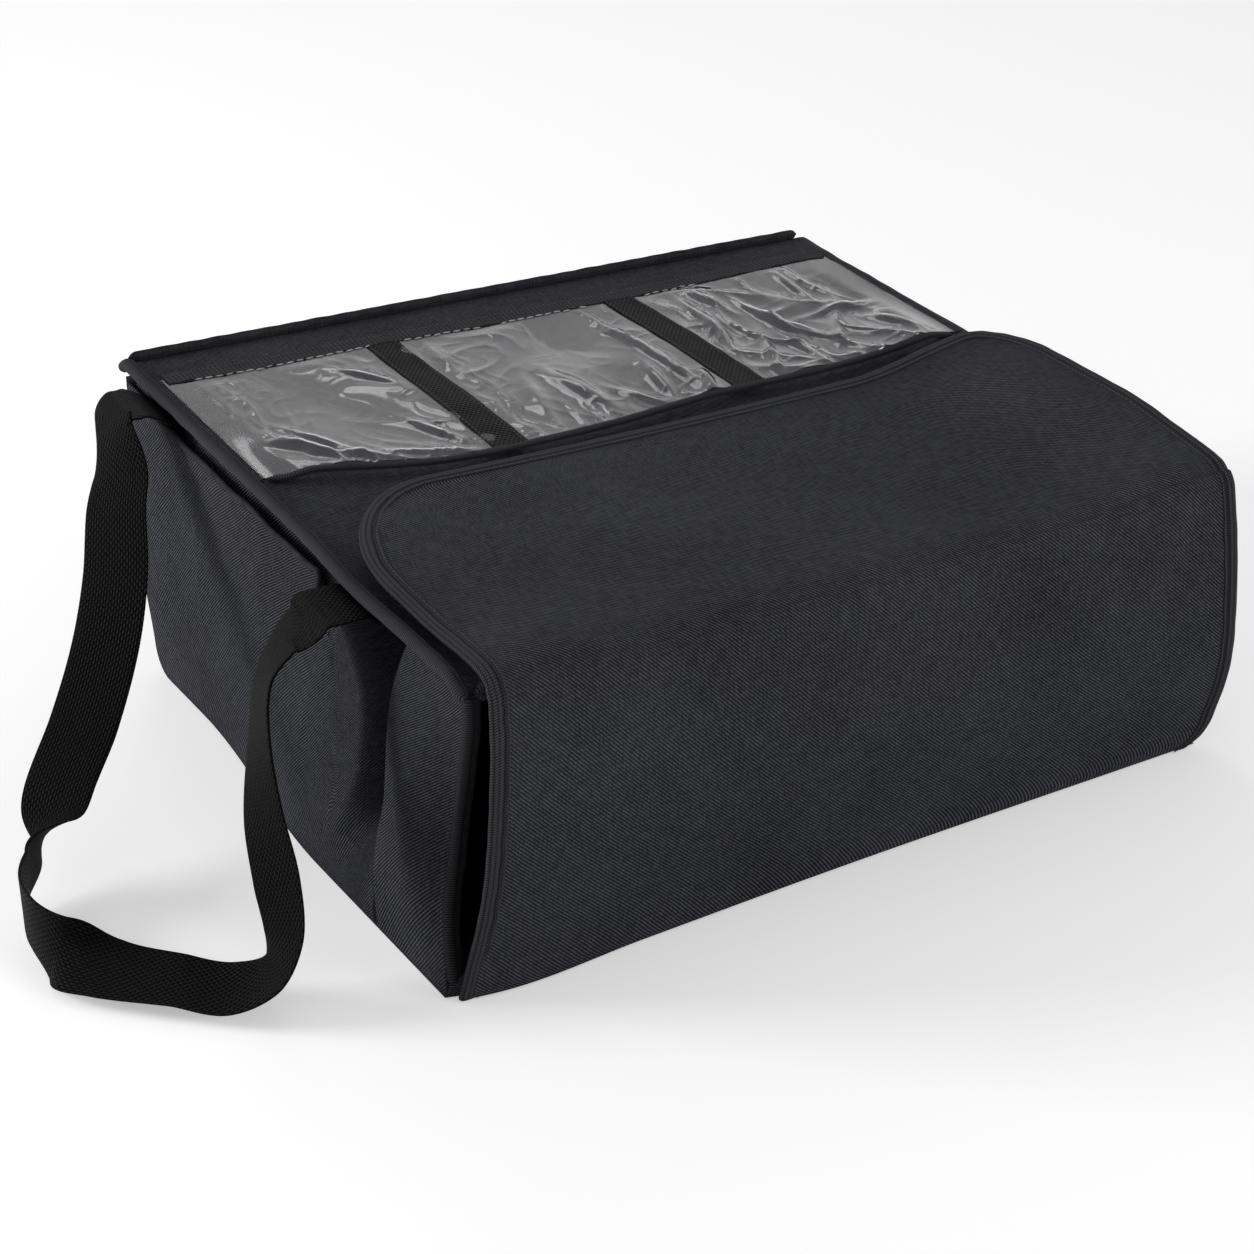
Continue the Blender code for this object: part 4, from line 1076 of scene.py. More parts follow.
rim_centres, rim_outs, rim_ups = flap_rim_path()
puckers = 1 + 0.04 * waves(np.arange(len(rim_centres)) * 0.004, np.zeros(len(rim_centres)), 5, 0.02)
rim_outline = fold_outline(0.0088, RIM + 0.0014, 0.0003)[None] * puckers[:, None, None]
flap_binding = sweep("flap_binding", rim_centres, rim_outs, rim_ups, rim_outline, [binding_look])
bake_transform(flap_binding)
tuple(bend_from)
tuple(bend_to)
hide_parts("flap_front_left_binding", "flap_front_right_binding", "flap_top_binding")
print("flap's binding, sections along its edge:", len(rim_centres))

# %% [markdown]
# ## Rolled edges
# The mouth and the top's sides have rolled tape, which is an oval carried along the seam, a little
# thicker in one place than in the next. The sleeves' hems and the back's upper edge are narrow
# rolls of the bag's own cloth.

# %% Mouth binding, piping and hems


def path_frame(points, up_hint):
    """Directions across and up along a path, each square to its run."""
    run = unit(np.gradient(points, axis=0))
    side = unit(np.cross(run, up_hint))
    return side, np.cross(side, run)


def rolled(name, points, up_hint, wide, high, seed, look=None):
    """A roll of tape or cloth along a line of points, thin at both its ends."""
    side, up = path_frame(points, np.asarray(up_hint, float))
    along = distances(points)
    size = 1 + 0.04 * waves(along, 0 * along, seed, 0.022)
    size = size * np.sqrt(np.clip(np.minimum(along, along[-1] - along) / 0.004, 0.02, 1))
    outline = oval(wide, high, 18)[None] * size[:, None, None]
    return sweep(name, points, side, up, outline, [look or binding_look])


PIPING_LIFT, PIPING_START, PIPING_END = {-1: 0.0030, 1: -0.0030}, -0.2225, BACK_Y + 0.0015
for side, name in ((-1, "left"), (1, "right")):
    z = np.linspace(0.004, side_top(side, MOUTH_Y) - 0.006, 110)
    up = z / side_top(side, MOUTH_Y)
    y = mouth_line(up) - 0.0022
    points = stack(side_x(side, y, z, 0.0045), y, z)
    made = rolled(f"{name}_mouth_roll", points, (0, 1, 0), 0.0110, 0.0075, 70 + side)
    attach(made, "bag")
    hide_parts(f"mouth_binding_{name}")

    y = np.linspace(PIPING_START, PIPING_END, 190)
    ends = smooth((y - PIPING_START) / 0.02) * smooth((PIPING_END - y) / 0.012)
    lift = mix(-0.003, PIPING_LIFT[side], ends) + 0.0004 * waves(y, 0 * y, 81, 0.06)
    reach = 0.0012 + 0.0030 * hump(y, -0.110, 0.045) if side < 0 else -0.0008
    points = stack(side * (WIDTH / 2 + reach), y, side_top(side, y) + lift)
    made = rolled(f"{name}_piping", points, (side, 0, 0.3), 0.0078, 0.0088, 90 + side)
    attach(made, "bag")
    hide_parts(f"{name}_top_piping")

    hem = hem_lines[name] + (side * 0.0004, 0, 0)
    made = rolled(f"{name}_hem", hem[2:-9], (side, 0, 0), 0.0042, 0.0034, 120 + side, hem_look)
    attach(made, "bag")

x = np.linspace(-WIDTH / 2 + 0.003, WIDTH / 2 - 0.003, 220)
points = stack(x, BACK_Y + 0.0008, edge_height(x, BACK_Y) + 0.0022)
made = rolled("back_roll", points, (0, 0, 1), 0.0056, 0.0072, 140, hem_look)
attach(made, "bag")

x = np.linspace(-WIDTH / 2 + 0.006, WIDTH / 2 - 0.006, 140)
points = stack(x, mouth_line(1.0) - 0.0022, top_height(x, MOUTH_Y) - WALL / 2 - 0.0005)
made = rolled("top_mouth_roll", points, (0, 0, 1), 0.0080, 0.0100, 99)
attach(made, "bag")
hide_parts("mouth_binding_top")
print("rolled edges made")

# %% [markdown]
# ## Ticket pockets
# Three vinyl windows are sewn down at their back and sides and stand open towards the flap, where
# they rise off the top. Their front edge bows towards the flap.

# %% Pocket shapes


# The pockets' open front edge: places across the bag, and its Y there.
FRONT_LINE = (
    (-0.2425, -0.235, -0.2207, -0.1972, -0.1675, -0.120, -0.0654,
     -0.0281, 0.0105, 0.0542, 0.1147, 0.1947, 0.230, 0.2425),
    (0.0400, 0.0350, 0.0315, 0.0270, 0.0205, 0.0120, 0.0105,
     0.0140, 0.0185, 0.0205, 0.0195, 0.0225, 0.0290, 0.0330),
)


def front_line(x):
    """Y of the pockets' open front edge, which bows towards the flap and turns back at its ends."""
    return line_through(x, *FRONT_LINE)


def pocket_lift(x, y):
    """The pockets rise towards their open front edge, and lie down at both sides and at the back."""
    side_room = POCKET_HALF_WIDTH + 0.004 - np.abs(x)
    return 0.0060 * smooth(side_room / 0.030) * np.clip((BACK_TAPE_Y - y) / 0.155, 0, 1)


print("the pockets rise by up to", round(float(pocket_lift(0.0, front_line(0.0))), 4), "m in front")

# %% [markdown]
# ## Windows
# Vinyl that was folded in a box keeps sharp crinkles. Crests of several sizes cross each window, most
# of all near its edges, and a table adds the stronger folds one by one.

# %% Windows

# Each window's name, its two ends, its seed, how busy it is, and its folds. A fold has its X and Y, its
# turn in degrees, its length, its width and its height.
WINDOWS = (
    ("left", -POCKET_HALF_WIDTH, LEFT_DIVIDER_X, 101, 0.35, (
        (-0.230, 0.140, 90, 0.036, 0.0050, 0.0018), (-0.241, 0.115, 92, 0.020, 0.0040, 0.0016),
        (-0.238, 0.072, 108, 0.035, 0.0050, 0.0024), (-0.227, 0.074, 137, 0.024, 0.0045, 0.0020),
        (-0.208, 0.052, 115, 0.030, 0.0045, 0.0026), (-0.197, 0.060, 115, 0.028, 0.0040, 0.0018),
        (-0.130, 0.138, 125, 0.020, 0.0040, 0.0018), (-0.129, 0.052, 110, 0.020, 0.0040, 0.0020),
        (-0.152, 0.027, 160, 0.030, 0.0050, 0.0018), (-0.185, 0.034, 150, 0.022, 0.0045, 0.0022),
    )),
    ("middle", LEFT_DIVIDER_X, RIGHT_DIVIDER_X, 203, 0.45, (
        (0.047, 0.095, 92, 0.060, 0.0045, 0.0026), (-0.050, 0.070, 76, 0.030, 0.0070, 0.0014),
        (-0.021, 0.062, 100, 0.034, 0.0080, 0.0022), (-0.085, 0.070, 96, 0.034, 0.0060, 0.0012),
        (0.030, 0.050, 80, 0.026, 0.0050, 0.0018), (0.058, 0.040, 70, 0.020, 0.0040, 0.0022),
        (-0.075, 0.150, 84, 0.022, 0.0060, 0.0012), (0.010, 0.035, 120, 0.020, 0.0050, 0.0016),
    )),
    ("right", RIGHT_DIVIDER_X, POCKET_HALF_WIDTH, 305, 1.0, (
        (0.109, 0.120, 85, 0.040, 0.0050, 0.0022), (0.102, 0.086, 74, 0.028, 0.0040, 0.0028),
        (0.148, 0.108, 95, 0.030, 0.0040, 0.0030), (0.157, 0.085, 115, 0.018, 0.0040, 0.0026),
        (0.115, 0.053, 68, 0.030, 0.0040, 0.0028), (0.140, 0.053, 88, 0.025, 0.0040, 0.0026),
        (0.203, 0.099, 3, 0.025, 0.0050, 0.0024), (0.194, 0.142, 87, 0.025, 0.0040, 0.0022),
        (0.172, 0.060, 60, 0.022, 0.0045, 0.0022), (0.128, 0.150, 100, 0.022, 0.0045, 0.0018),
        (0.212, 0.060, 110, 0.020, 0.0050, 0.0018),
    )),
)
WINDOW_END, FOLD_HEIGHTEN, FOLD_NARROW = 0.2470, 1.5, 0.85


def window_relief(x, y, low, high, seed, busy, folds):
    """Ridges of one window: the folds it was packed in, and finer crinkles near its edges."""
    side_room = np.minimum(x - low, high - x) - 0.010
    free = smooth(side_room / 0.014) * smooth((BACK_TAPE_Y - y) / 0.014)
    rim = hump(np.minimum(side_room, y - front_line(x)), 0.004, 0.022)
    total = 0.0012 * waves(x, y, seed + 7, 0.075, 0.5)
    total = total + 0.0026 * busy * (crests(x, y, seed, 0.048, 0.5) - 0.4) * mix(busy, 1.0, rim)
    total = total + 0.0008 * (crests(x, y, seed + 3, 0.022, 0.6) - 0.4) * mix(busy * 0.5, 1.0, rim)
    for px, py, turn, length, width, height in folds:
        ridge = fold(x, y, (px, py), turn, length, FOLD_NARROW * width)
        total = total + FOLD_HEIGHTEN * height * ridge
    return total * free


for name, low, high, seed, busy, folds in WINDOWS:
    across, along = wall_grid(150, 150)
    left = -WINDOW_END if name == "left" else low + GAP
    right = WINDOW_END if name == "right" else high - GAP
    x = mix(left, right, across)
    y = mix(front_line(np.clip(x, -POCKET_HALF_WIDTH, POCKET_HALF_WIDTH)), POCKET_BACK_Y, along)
    lift = pocket_lift(x, y) + window_relief(x, y, low, high, seed, busy, folds)
    z = top_surface(x, y) + 0.0018 + np.maximum(lift, 0)
    made = grid_cloth(f"{name}_window", stack(x, y, z + PVC), stack(x, y, z), [vinyl])
    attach(made, "bag")
    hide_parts(f"pocket_window_{name}")

print("windows:", ", ".join(window[0] for window in WINDOWS))

# %% [markdown]
# ## Pocket tapes
# Webbing parts the windows, tape closes them at the back and along their open front edge, and a
# narrow strip of the bag's cloth ends them at each side. All follow the top and the pockets' lift.

# %% Pocket tapes


def lay_tape(name, x, y, lift, look, replaced):
    """A flat tape over a grid of places on the top."""
    z = top_surface(x, y) + pocket_lift(x, y) + lift + 0.0003 * waves(x, y, 17, 0.03)
    made = grid_cloth(name, stack(x, y, z), stack(x, y, z - TAPE), [look])
    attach(made, "bag")
    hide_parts(replaced)


across, along = wall_grid(16, 110)
for name, middle in (("left", LEFT_DIVIDER_X), ("right", RIGHT_DIVIDER_X)):
    x = middle + (across - 0.5) * (DIVIDER_WIDTH - 0.001)
    y = mix(front_line(x), BACK_TAPE_Y, along)
    lay_tape(f"{name}_divider", x, y, 0.0028, webbing_look, f"pocket_divider_{name}")

across, along = wall_grid(220, 12)
x = mix(-POCKET_HALF_WIDTH - 0.002, POCKET_HALF_WIDTH + 0.002, across)
y = mix(BACK_TAPE_Y, BACK_TAPE_Y + BACK_TAPE_WIDTH, along)
lay_tape("back_tape", x, y, 0.0030, binding_look, "pocket_back_tape")

across, along = wall_grid(8, 120)
for side, name in ((-1, "left"), (1, "right")):
    x = side * mix(POCKET_HALF_WIDTH + 0.0035, POCKET_HALF_WIDTH + 0.0085, across)
    y = mix(front_line(side * POCKET_HALF_WIDTH), BACK_TAPE_Y + BACK_TAPE_WIDTH, along)
    lay_tape(f"{name}_side_tape", x, y, 0.0020, oxford, f"pocket_{name}_tape")

x = np.linspace(-POCKET_HALF_WIDTH - 0.001, POCKET_HALF_WIDTH + 0.001, 260)
y = front_line(x) - 0.0010
points = stack(x, y, top_surface(x, y) + pocket_lift(x, y) + 0.0012)
made = rolled("front_tape", points, (0, 0, 1), 0.0070, 0.0038, 160)
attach(made, "bag")
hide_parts("pocket_front_tape")
print("pocket tapes made")

# %% [markdown]
# ## Hook and loop tape
# One strip lies on the top and its partner under the flap's free end. They show when the flap is
# lifted, so each is a thin sheet with a rough pile.

# %% Hook and loop

for name, lift, body, node in (
    ("loop_strip", 0.0018, "bag", "top_loop_strip"), ("hook_strip", 0.0036, "flap_top", "flap_hook_strip"),
):
    across, along = wall_grid(90, 14)
    x, y = mix(-0.190, 0.190, across), mix(-0.085, -0.035, along)
    z = top_height(x, y) + lift
    made = grid_cloth(name, stack(x, y, z), stack(x, y, z - TAPE), [hook_look])
    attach(made, body)
    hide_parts(node)
print("hook and loop strips made")

# %% [markdown]
# ## Loops of the handles
# Each handle is one long piece of webbing. The left loop lies out on the floor and turns over there,
# and the right one hangs close to its side. The width is carried along the line with its own
# direction at each place, which gives the twists.

# %% Handle loops

# Each place of a loop: how far out, forward and up it is, as shares of the loop's reach, of the
# handle's span and of its height, and the way its width runs: towards the bag, back and up.
LEFT_LOOP = (
    (0.100, 0.060, 0.885, 0.42, -0.90, 0.05),
    (0.172, 0.112, 0.800, 0.60, -0.79, 0.11),
    (0.262, 0.195, 0.665, 0.80, -0.60, 0.10),
    (0.390, 0.280, 0.524, 0.91, -0.42, 0.06),
    (0.574, 0.378, 0.385, 0.97, -0.22, 0.07),
    (0.730, 0.446, 0.288, 0.96, -0.04, 0.26),
    (0.835, 0.496, 0.206, 0.69, 0.25, 0.68),
    (0.966, 0.552, 0.132, 0.29, 0.27, 0.92),
    (1.049, 0.644, 0.116, 0.00, 0.30, 0.95),
    (1.026, 0.758, 0.098, -0.10, 0.66, 0.74),
    (0.906, 0.832, 0.070, 0.05, 0.97, 0.22),
    (0.734, 0.910, 0.062, 0.22, 0.96, 0.14),
    (0.589, 0.976, 0.057, 0.34, 0.92, 0.19),
    (0.468, 1.011, 0.106, 0.24, 0.96, -0.13),
    (0.409, 1.002, 0.202, -0.17, 0.93, -0.32),
    (0.384, 0.959, 0.327, -0.34, 0.87, -0.35),
    (0.360, 0.896, 0.469, -0.20, 0.90, -0.39),
    (0.299, 0.831, 0.629, 0.11, 0.88, -0.46),
    (0.222, 0.782, 0.766, 0.20, 0.92, -0.34),
    (0.118, 0.776, 0.866, 0.12, 0.98, -0.16),
)
RIGHT_LOOP = (
    (0.100, 0.015, 0.800, 0.00, -1.00, 0.00), (0.220, 0.040, 0.640, 0.00, -1.00, 0.00),
    (0.380, 0.080, 0.440, 0.10, -0.96, 0.10), (0.580, 0.130, 0.260, 0.30, -0.70, 0.60),
    (0.800, 0.220, 0.140, 0.25, -0.10, 0.95), (0.980, 0.350, 0.118, 0.20, 0.00, 0.97),
    (1.000, 0.480, 0.118, 0.15, 0.00, 0.98), (0.900, 0.600, 0.124, 0.20, 0.10, 0.96),
    (0.680, 0.700, 0.170, 0.30, 0.60, 0.70), (0.460, 0.745, 0.320, 0.10, 0.96, 0.10),
    (0.280, 0.765, 0.530, 0.00, 1.00, 0.00), (0.140, 0.775, 0.700, 0.00, 1.00, 0.00),
)
print("places in the loops:", len(LEFT_LOOP), "and", len(RIGHT_LOOP))

# %% [markdown]
# ## Sewn ends
# The webbing comes up between sleeve and wall, passes out under the piping and tops a short arch
# before it hangs. Both arches stand on the joint's axis, so that the handle swings about them.

# %% Handle stations

WALL_LINE = WIDTH / 2 - FABRIC - SLEEVE_SPACE / 2
SEWN_LENGTH, LOOP_STRETCH, LOOP_RISE, WIDTH_PASSES = 0.060, 1.27, 0.960, 80


def apex(side, rear):
    """Where the webbing leaves its sewn end. The joint's axis runs through both such places."""
    y = HANDLE_REAR_Y if rear else HANDLE_FRONT_Y
    reach, rise = (0.024, 0.004 if rear else -0.004) if side < 0 else (0.014, -0.016)
    return np.array([side * (WIDTH / 2 + reach), y, side_top(side, y) + rise])


def handle_stations(side, table, reach):
    """Middles of the webbing and the way its width runs, from one sewn end to the other."""
    rear, front = apex(side, True), apex(side, False)
    axis = unit(rear - front)
    outwards, down = np.array([side, 0, 0.0]), np.array([0, 0, -1.0])
    lead, inwards = (outwards, down) if side < 0 else (down, -outwards)
    start, end = (tip + inwards * WEBBING / 2 for tip in (rear, front))
    level, brow = lead * 0.005, lead * 0.010 + down * 0.005

    def sewn(tip, skin_drop):
        edge = side_top(side, tip[1])
        places = ((WALL_LINE, edge - SEWN_LENGTH), (WALL_LINE, edge - skin_drop),
                  (mix(WALL_LINE, abs(tip[0]), 0.25), edge - PASS_DROP))
        return [(side * x, tip[1], z) for x, z in places] + [tuple(tip - level)]

    stations = [(place, -axis) for place in sewn(start, SLEEVE_DROP)]
    stations += [(start, -axis), (start + level, -axis), (start + brow, -axis)]
    span = (HANDLE_REAR_Y - HANDLE_FRONT_Y) * LOOP_STRETCH
    for out, forward, up, wide, long, high in table:
        middle = (start[0] + side * out * reach, start[1] - forward * span, up * LOOP_RISE * start[2])
        stations.append((middle, (-side * wide, long, high)))
    stations += [(end + brow, axis), (end + level, axis), (end, axis)]
    stations += [(place, axis) for place in reversed(sewn(end, NOTCH_DROP))]
    return np.array([s[0] for s in stations], float), np.array([s[1] for s in stations], float)


print("left handle's axis in m:", apex(-1, True).round(4).tolist(), "to", apex(-1, False).round(4).tolist())

# %% [markdown]
# ## Handle webbing
# A smooth curve runs through the stations, and the turns of the width are smoothed along it, because
# webbing is stiff across and twists slowly. The sewn ends are then laid on the side's wall.

# %% Handle webbing


def make_handle(side, name, table, reach, blend_way):
    """One handle's webbing, from sewn end to sewn end."""
    middles, widths = handle_stations(side, table, reach)
    count = 560
    shares = np.linspace(0, 1, count)
    centres = np.array([curve_through(middles, s) for s in shares])
    run = unit(np.gradient(centres, axis=0))
    place = shares * (len(widths) - 1)
    index = np.minimum(place.astype(int), len(widths) - 2)
    part = (place - index)[:, None]
    width = widths[index] * (1 - part) + widths[index + 1] * part
    for _ in range(WIDTH_PASSES):
        width[1:-1] = (width[:-2] + width[1:-1] * 2 + width[2:]) / 4
    width = unit(width - run * (width * run).sum(1, keepdims=True))
    half, thick = WEBBING_WIDTH / 2, WEBBING / 2
    edge = thick * 0.4
    upper = [(mix(-half + 0.0008, half - 0.0008, s), -thick) for s in np.linspace(0, 1, 15)]
    lower = [(-x, thick) for x, _ in upper]
    outline = [(-half, -edge), *upper, (half, -edge), (half, edge), *lower, (-half, edge)]

    def lay(rings):
        """Lays the sewn ends on the side's wall, under the sleeve."""
        rings = rings.copy()
        for rows, skin_drop in ((place < 4, SLEEVE_DROP), (place > len(widths) - 5, NOTCH_DROP)):
            x, y, z = (rings[rows][..., i] for i in range(3))
            under = side_top(side, y) - z
            risen = smooth((skin_drop - GAP - under) / (skin_drop - PASS_DROP))
            free = np.maximum(risen, smooth((side * x - WALL_LINE) / WEBBING - 1))
            rings[rows, :, 0] = x + (side_x(side, y, z, 0) - side * WIDTH / 2) * (1 - free)
        return rings

    made = sweep(f"{name}_handle", centres, width, np.cross(run, width), outline, [webbing_look], lay)
    middle, way = (apex(side, True) + apex(side, False)) / 2, unit(np.array(blend_way, float))
    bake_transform(made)
    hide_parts(f"{name}_handle_webbing", f"{name}_rear_webbing_end", f"{name}_front_webbing_end")
    length = float(distances(centres)[-1])
    print(name, "handle's length:", round(length, 3))


make_handle(-1, "left", LEFT_LOOP, 0.159, (-1, 0, 0))
make_handle(1, "right", RIGHT_LOOP, 0.090, (0.978, 0.006, -0.208))

# %% [markdown]
# ## Stitches
# Every seam shows a row of thread. A Geometry Nodes tree follows each seam's line, sets a point at
# each stitch, turns a small bead of thread along the seam, and makes them one mesh.

# %% Stitch tree


def make_stitch_tree():
    """Geometry Nodes tree that turns a line of edges into a row of beads of thread."""
    tree = bpy.data.node_groups.new("stitches", "GeometryNodeTree")
    for label, kind, value in (
        ("Geometry", "NodeSocketGeometry", None), ("Pitch", "NodeSocketFloat", 0.0038),
        ("Stitch", "NodeSocketVector", (0.0012, 0.00035, 0.0003)), ("Thread", "NodeSocketMaterial", None),
    ):
        made = tree.interface.new_socket(name=label, in_out="INPUT", socket_type=kind)
        if value is not None:
            made.default_value = value
    tree.interface.new_socket(name="Geometry", in_out="OUTPUT", socket_type="NodeSocketGeometry")
    add = tree.nodes.new
    taken, given = add("NodeGroupInput"), add("NodeGroupOutput")
    line, dots = add("GeometryNodeMeshToCurve"), add("GeometryNodeCurveToPoints")
    dots.mode = "LENGTH"
    turn, bead = add("FunctionNodeAlignRotationToVector"), add("GeometryNodeMeshUVSphere")
    turn.axis = "X"
    bead.inputs["Segments"].default_value, bead.inputs["Rings"].default_value = 6, 4
    bead.inputs["Radius"].default_value = 1.0
    place, real = add("GeometryNodeInstanceOnPoints"), add("GeometryNodeRealizeInstances")
    dress = add("GeometryNodeSetMaterial")
    for source, output, target, socket in (
        (taken, "Geometry", line, "Mesh"), (line, "Curve", dots, "Curve"),
        (taken, "Pitch", dots, "Length"), (dots, "Points", place, "Points"),
        (bead, "Mesh", place, "Instance"), (dots, "Tangent", turn, "Vector"),
        (turn, "Rotation", place, "Rotation"), (taken, "Stitch", place, "Scale"),
        (place, "Instances", real, "Geometry"), (real, "Geometry", dress, "Geometry"),
        (taken, "Thread", dress, "Material"), (dress, "Geometry", given, "Geometry"),
    ):
        tree.links.new(source.outputs[output], target.inputs[socket])
    return tree


stitch_tree = make_stitch_tree()
print("stitch tree:", len(stitch_tree.nodes), "nodes")

# %% [markdown]
# ## Sewing
# The tree works on a guide whose edges follow the seams. Its result becomes a plain mesh and the
# guide is deleted, so no live modifier is left.

# %% Sewing

BEAD_POINTS = 20


def sew(name, lines, thread, pitch=0.0040, stitch=(0.0013, 0.00035, 0.0003)):
    """One mesh of stitches along several lines of points."""
    mesh = bpy.data.meshes.new(name)
    points, edges = [], []
    for row in lines:
        edges += [(len(points) + i, len(points) + i + 1) for i in range(len(row) - 1)]
        points += [tuple(map(float, p)) for p in row]
    mesh.from_pydata(points, edges, [])
    guide = put_in_scene(name + "_guide", mesh)
    modifier = guide.modifiers.new("stitches", "NODES")
    modifier.node_group = stitch_tree
    keys = {s.name: s.identifier for s in stitch_tree.interface.items_tree if s.in_out == "INPUT"}
    modifier[keys["Pitch"]] = pitch
    modifier[keys["Stitch"]] = stitch
    modifier[keys["Thread"]] = thread
    bpy.context.view_layer.update()
    graph = bpy.context.evaluated_depsgraph_get()
    plain = bpy.data.meshes.new_from_object(guide.evaluated_get(graph))
    bpy.data.objects.remove(guide)
    plain.name = name
    if "cloth" not in plain.uv_layers:
        plain.uv_layers.new(name="cloth")
    plain.shade_smooth()
    print(name, "stitches:", len(plain.vertices) // BEAD_POINTS)
    return put_in_scene(name, plain)


print("points in one stitch:", BEAD_POINTS)

# %% [markdown]
# ## Seams
# Thread runs along the back tape, the dividers and the sleeves' hems, round a box on each sleeve and
# along the flap's binding. Short pale dashes, a painted highlight, stand where the vinyl's rear edge catches
# the light.

# %% Sew the seams


def on_top(x, y, lift):
    """Points over the top's cloth."""
    x, y = np.broadcast_arrays(np.asarray(x, float), np.asarray(y, float))
    return stack(x, y, top_surface(x, y) + lift)


def on_side(side, y, z, lift):
    """Points off a side's cloth."""
    return stack(side_x(side, y, z, -lift), y, z)


bag_lines = []
wide = np.linspace(-POCKET_HALF_WIDTH, POCKET_HALF_WIDTH, 120)
bag_lines.append(on_top(wide, BACK_TAPE_Y + 0.010, 0.0031))
for middle in (LEFT_DIVIDER_X, RIGHT_DIVIDER_X):
    for shift in (-0.0095, 0.0095):
        x = middle + shift
        y = np.linspace(front_line(x) + 0.006, BACK_TAPE_Y - 0.002, 60)
        bag_lines.append(on_top(x, y, pocket_lift(x, y) + 0.0030))
for side, name in ((-1, "left"), (1, "right")):
    y = np.linspace(-0.040, BACK_Y - 0.012, 90)
    bag_lines.append(on_side(side, y, side_top(side, y) - SLEEVE_DROP - 0.006, 0.0004))
    bag_lines.append(on_side(side, np.linspace(0.022, 0.040, 20), np.linspace(0.158, 0.066, 20), 0.0006))
    bag_lines.append(on_side(side, np.linspace(0.020, -0.030, 16), 0.159 + np.zeros(16), 0.0006))
bag_stitches = sew("bag_stitches", bag_lines, thread_look)
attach(bag_stitches, "bag")

DASHES = (-0.225, -0.108, 40), (-0.080, -0.030, 20), (-0.010, 0.050, 20), (0.100, 0.135, 14)
glint_lines = []
for start, end, count in DASHES:
    x = np.linspace(start, end, count)
    glint_lines.append(on_top(x, BACK_TAPE_Y - 0.0004 + 0.0006 * waves(x, 0 * x, 9, 0.01), 0.0026))
glints = sew("vinyl_glints", glint_lines, glint_look, 0.0068, (0.0030, 0.0006, 0.0005))
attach(glints, "bag")

inner = rim_centres - rim_outs * 0.0078 + rim_ups * (RIM / 2 + 0.0008)
flap_stitches = sew("flap_stitches", [inner], thread_look)
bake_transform(flap_stitches)
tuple(bend_from)
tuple(bend_to)

# %% [markdown]
# ## Floor and light
# The bag lies on a white sweep that glows a little for the camera alone. The main lamp stands low at
# the left and lights the side and the vinyl. Weaker ones stand above, behind, and in front at the
# right. The room is white where the camera, gloss or vinyl looks at it, and dimmer as a light.

# %% Studio

FLOOR_Z, FLOOR_HALF, FLOOR_GLOW, ROOM_LIGHT = -0.0004, 6, 0.40, 0.36
LOOKED_AT = (0, 0, 0.1)


def make_floor():
    """A wide white floor, which isn't part of the bag."""
    mesh = bpy.data.meshes.new("floor")
    corners = ((-1, -1), (1, -1), (1, 1), (-1, 1))
    mesh.from_pydata([(x * FLOOR_HALF, y * FLOOR_HALF, FLOOR_Z) for x, y in corners], [], [(0, 1, 2, 3)])
    floor = put_in_scene("floor", mesh)
    look = bpy.data.materials.new("white_floor")
    look.use_nodes = True
    board = Board(look.node_tree)
    shader = look.node_tree.nodes["Principled BSDF"]
    shader.inputs["Base Color"].default_value = (0.86, 0.86, 0.86, 1)
    shader.inputs["Roughness"].default_value = 0.9
    shader.inputs["Specular IOR Level"].default_value = 0.1
    shader.inputs["Emission Color"].default_value = (1, 1, 1, 1)
    rays = look.node_tree.nodes.new("ShaderNodeLightPath").outputs
    glow = board.math("MULTIPLY", rays["Is Camera Ray"], FLOOR_GLOW)
    board.link(glow, shader.inputs["Emission Strength"])
    mesh.materials.append(look)


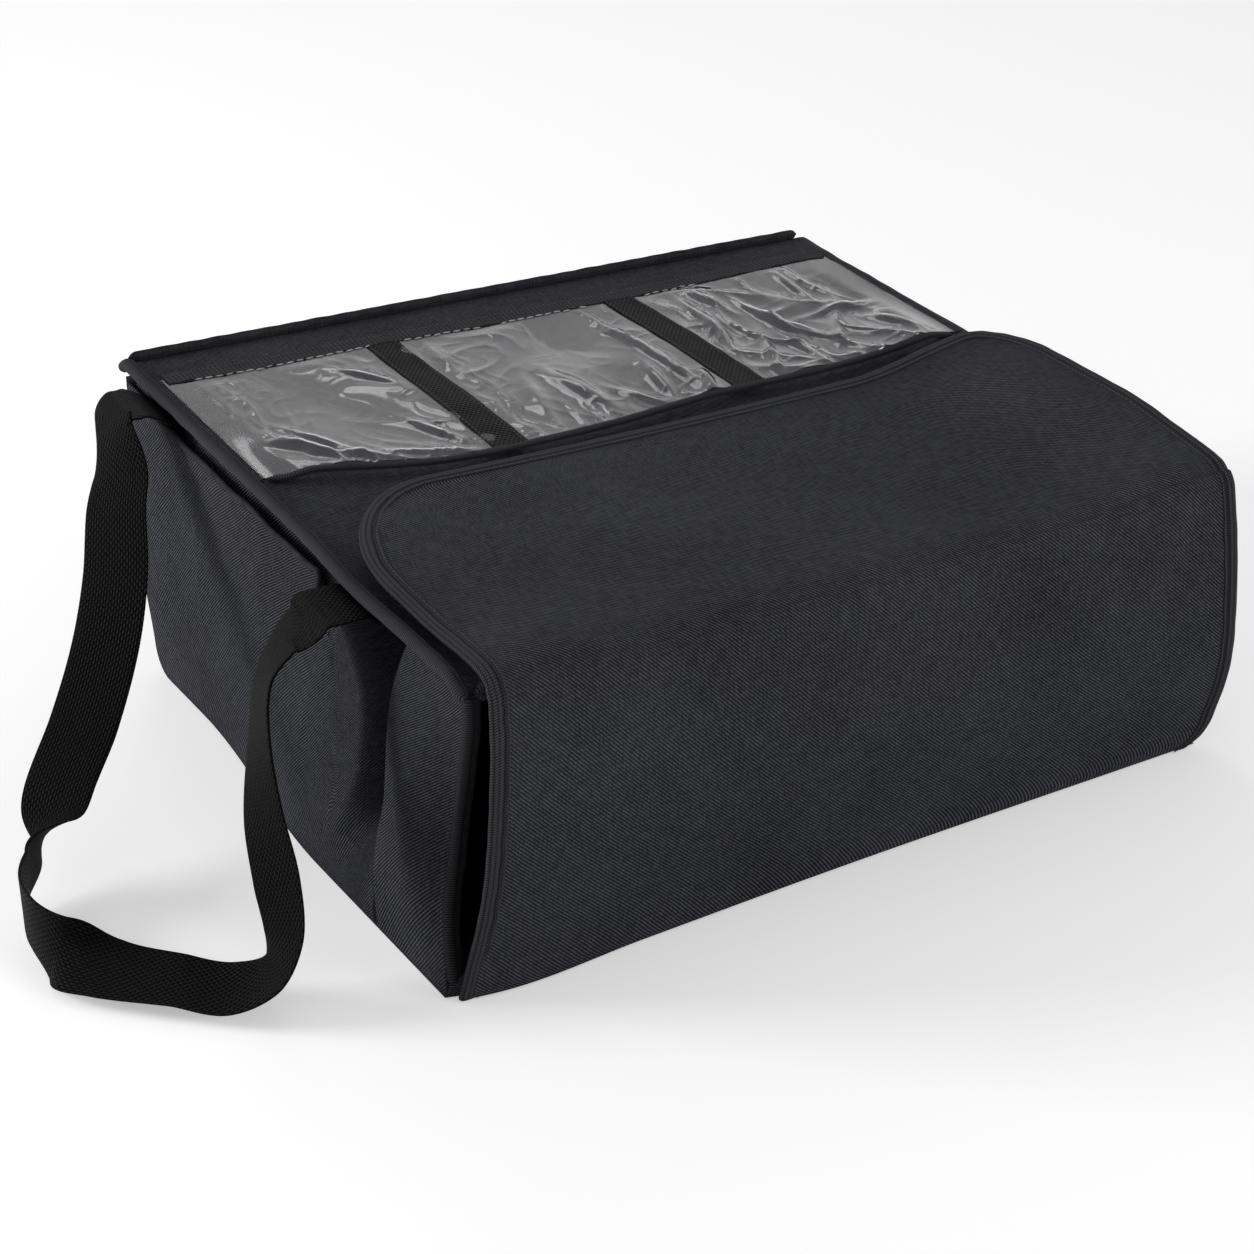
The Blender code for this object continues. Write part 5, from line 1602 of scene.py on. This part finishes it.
def make_world():
    """A white room that lights the bag less than it shows."""
    world = bpy.data.worlds.new("studio")
    bpy.context.scene.world = world
    world.use_nodes = True
    board = Board(world.node_tree)
    rays = world.node_tree.nodes.new("ShaderNodeLightPath").outputs
    looked = board.math("MAXIMUM", rays["Is Camera Ray"], rays["Is Glossy Ray"])
    seen = board.math("MAXIMUM", looked, rays["Is Transmission Ray"])
    background = world.node_tree.nodes["Background"]
    board.link(board.ramp(seen, 0.0, 1.0, ROOM_LIGHT, 1.0), background.inputs["Strength"])
    background.inputs["Color"].default_value = (1, 1, 1, 1)


def add_lamp(name, place, size, power):
    """A square lamp that faces the bag."""
    lamp = bpy.data.lights.new(name, "AREA")
    lamp.shape, lamp.size, lamp.energy = "SQUARE", size, power
    made = put_in_scene(name, lamp)
    made.location = place
    made.rotation_euler = (Vector(LOOKED_AT) - Vector(place)).to_track_quat("-Z", "Y").to_euler()


make_floor()
make_world()
add_lamp("key", (-2.2, 1.2, 1.0), 1.0, 40)
add_lamp("over", (0.3, 0.5, 2.6), 0.7, 1)
add_lamp("rear", (0.6, 2.0, 2.0), 0.8, 5)
add_lamp("front", (1.4, -2.2, 1.1), 1.2, 22)
print("lamps:", len(bpy.data.lights))

# %% [markdown]
# ## Camera
# The lens and the camera's place were fitted to the corners of the bag in the photograph.

# %% Camera

FOCAL_PIXELS, PHOTO_PIXELS, DISTANCE = 2948, 1254, 1.840
SHIFT_RIGHT, SHIFT_UP = -0.0210, -0.0389
camera_data = bpy.data.cameras.new("camera")
camera_data.sensor_width, camera_data.lens = 36, FOCAL_PIXELS / PHOTO_PIXELS * 36
camera_data.clip_start = 0.05
camera = put_in_scene("camera", camera_data)
azimuth, elevation = math.radians(-31.27), math.radians(27.83)
level = math.cos(elevation)
back = Vector((math.sin(azimuth) * level, -math.cos(azimuth) * level, math.sin(elevation)))
right = Vector((math.cos(azimuth), math.sin(azimuth), 0))
above = back.cross(right)
camera.location = Vector(LOOKED_AT) + back * DISTANCE + right * SHIFT_RIGHT + above * SHIFT_UP
camera.rotation_euler = back.to_track_quat("Z", "Y").to_euler()
bpy.context.scene.camera = camera
bpy.context.scene.view_settings.view_transform = "Standard"
print("camera's lens:", round(camera_data.lens, 1), "mm")

# %% [markdown]
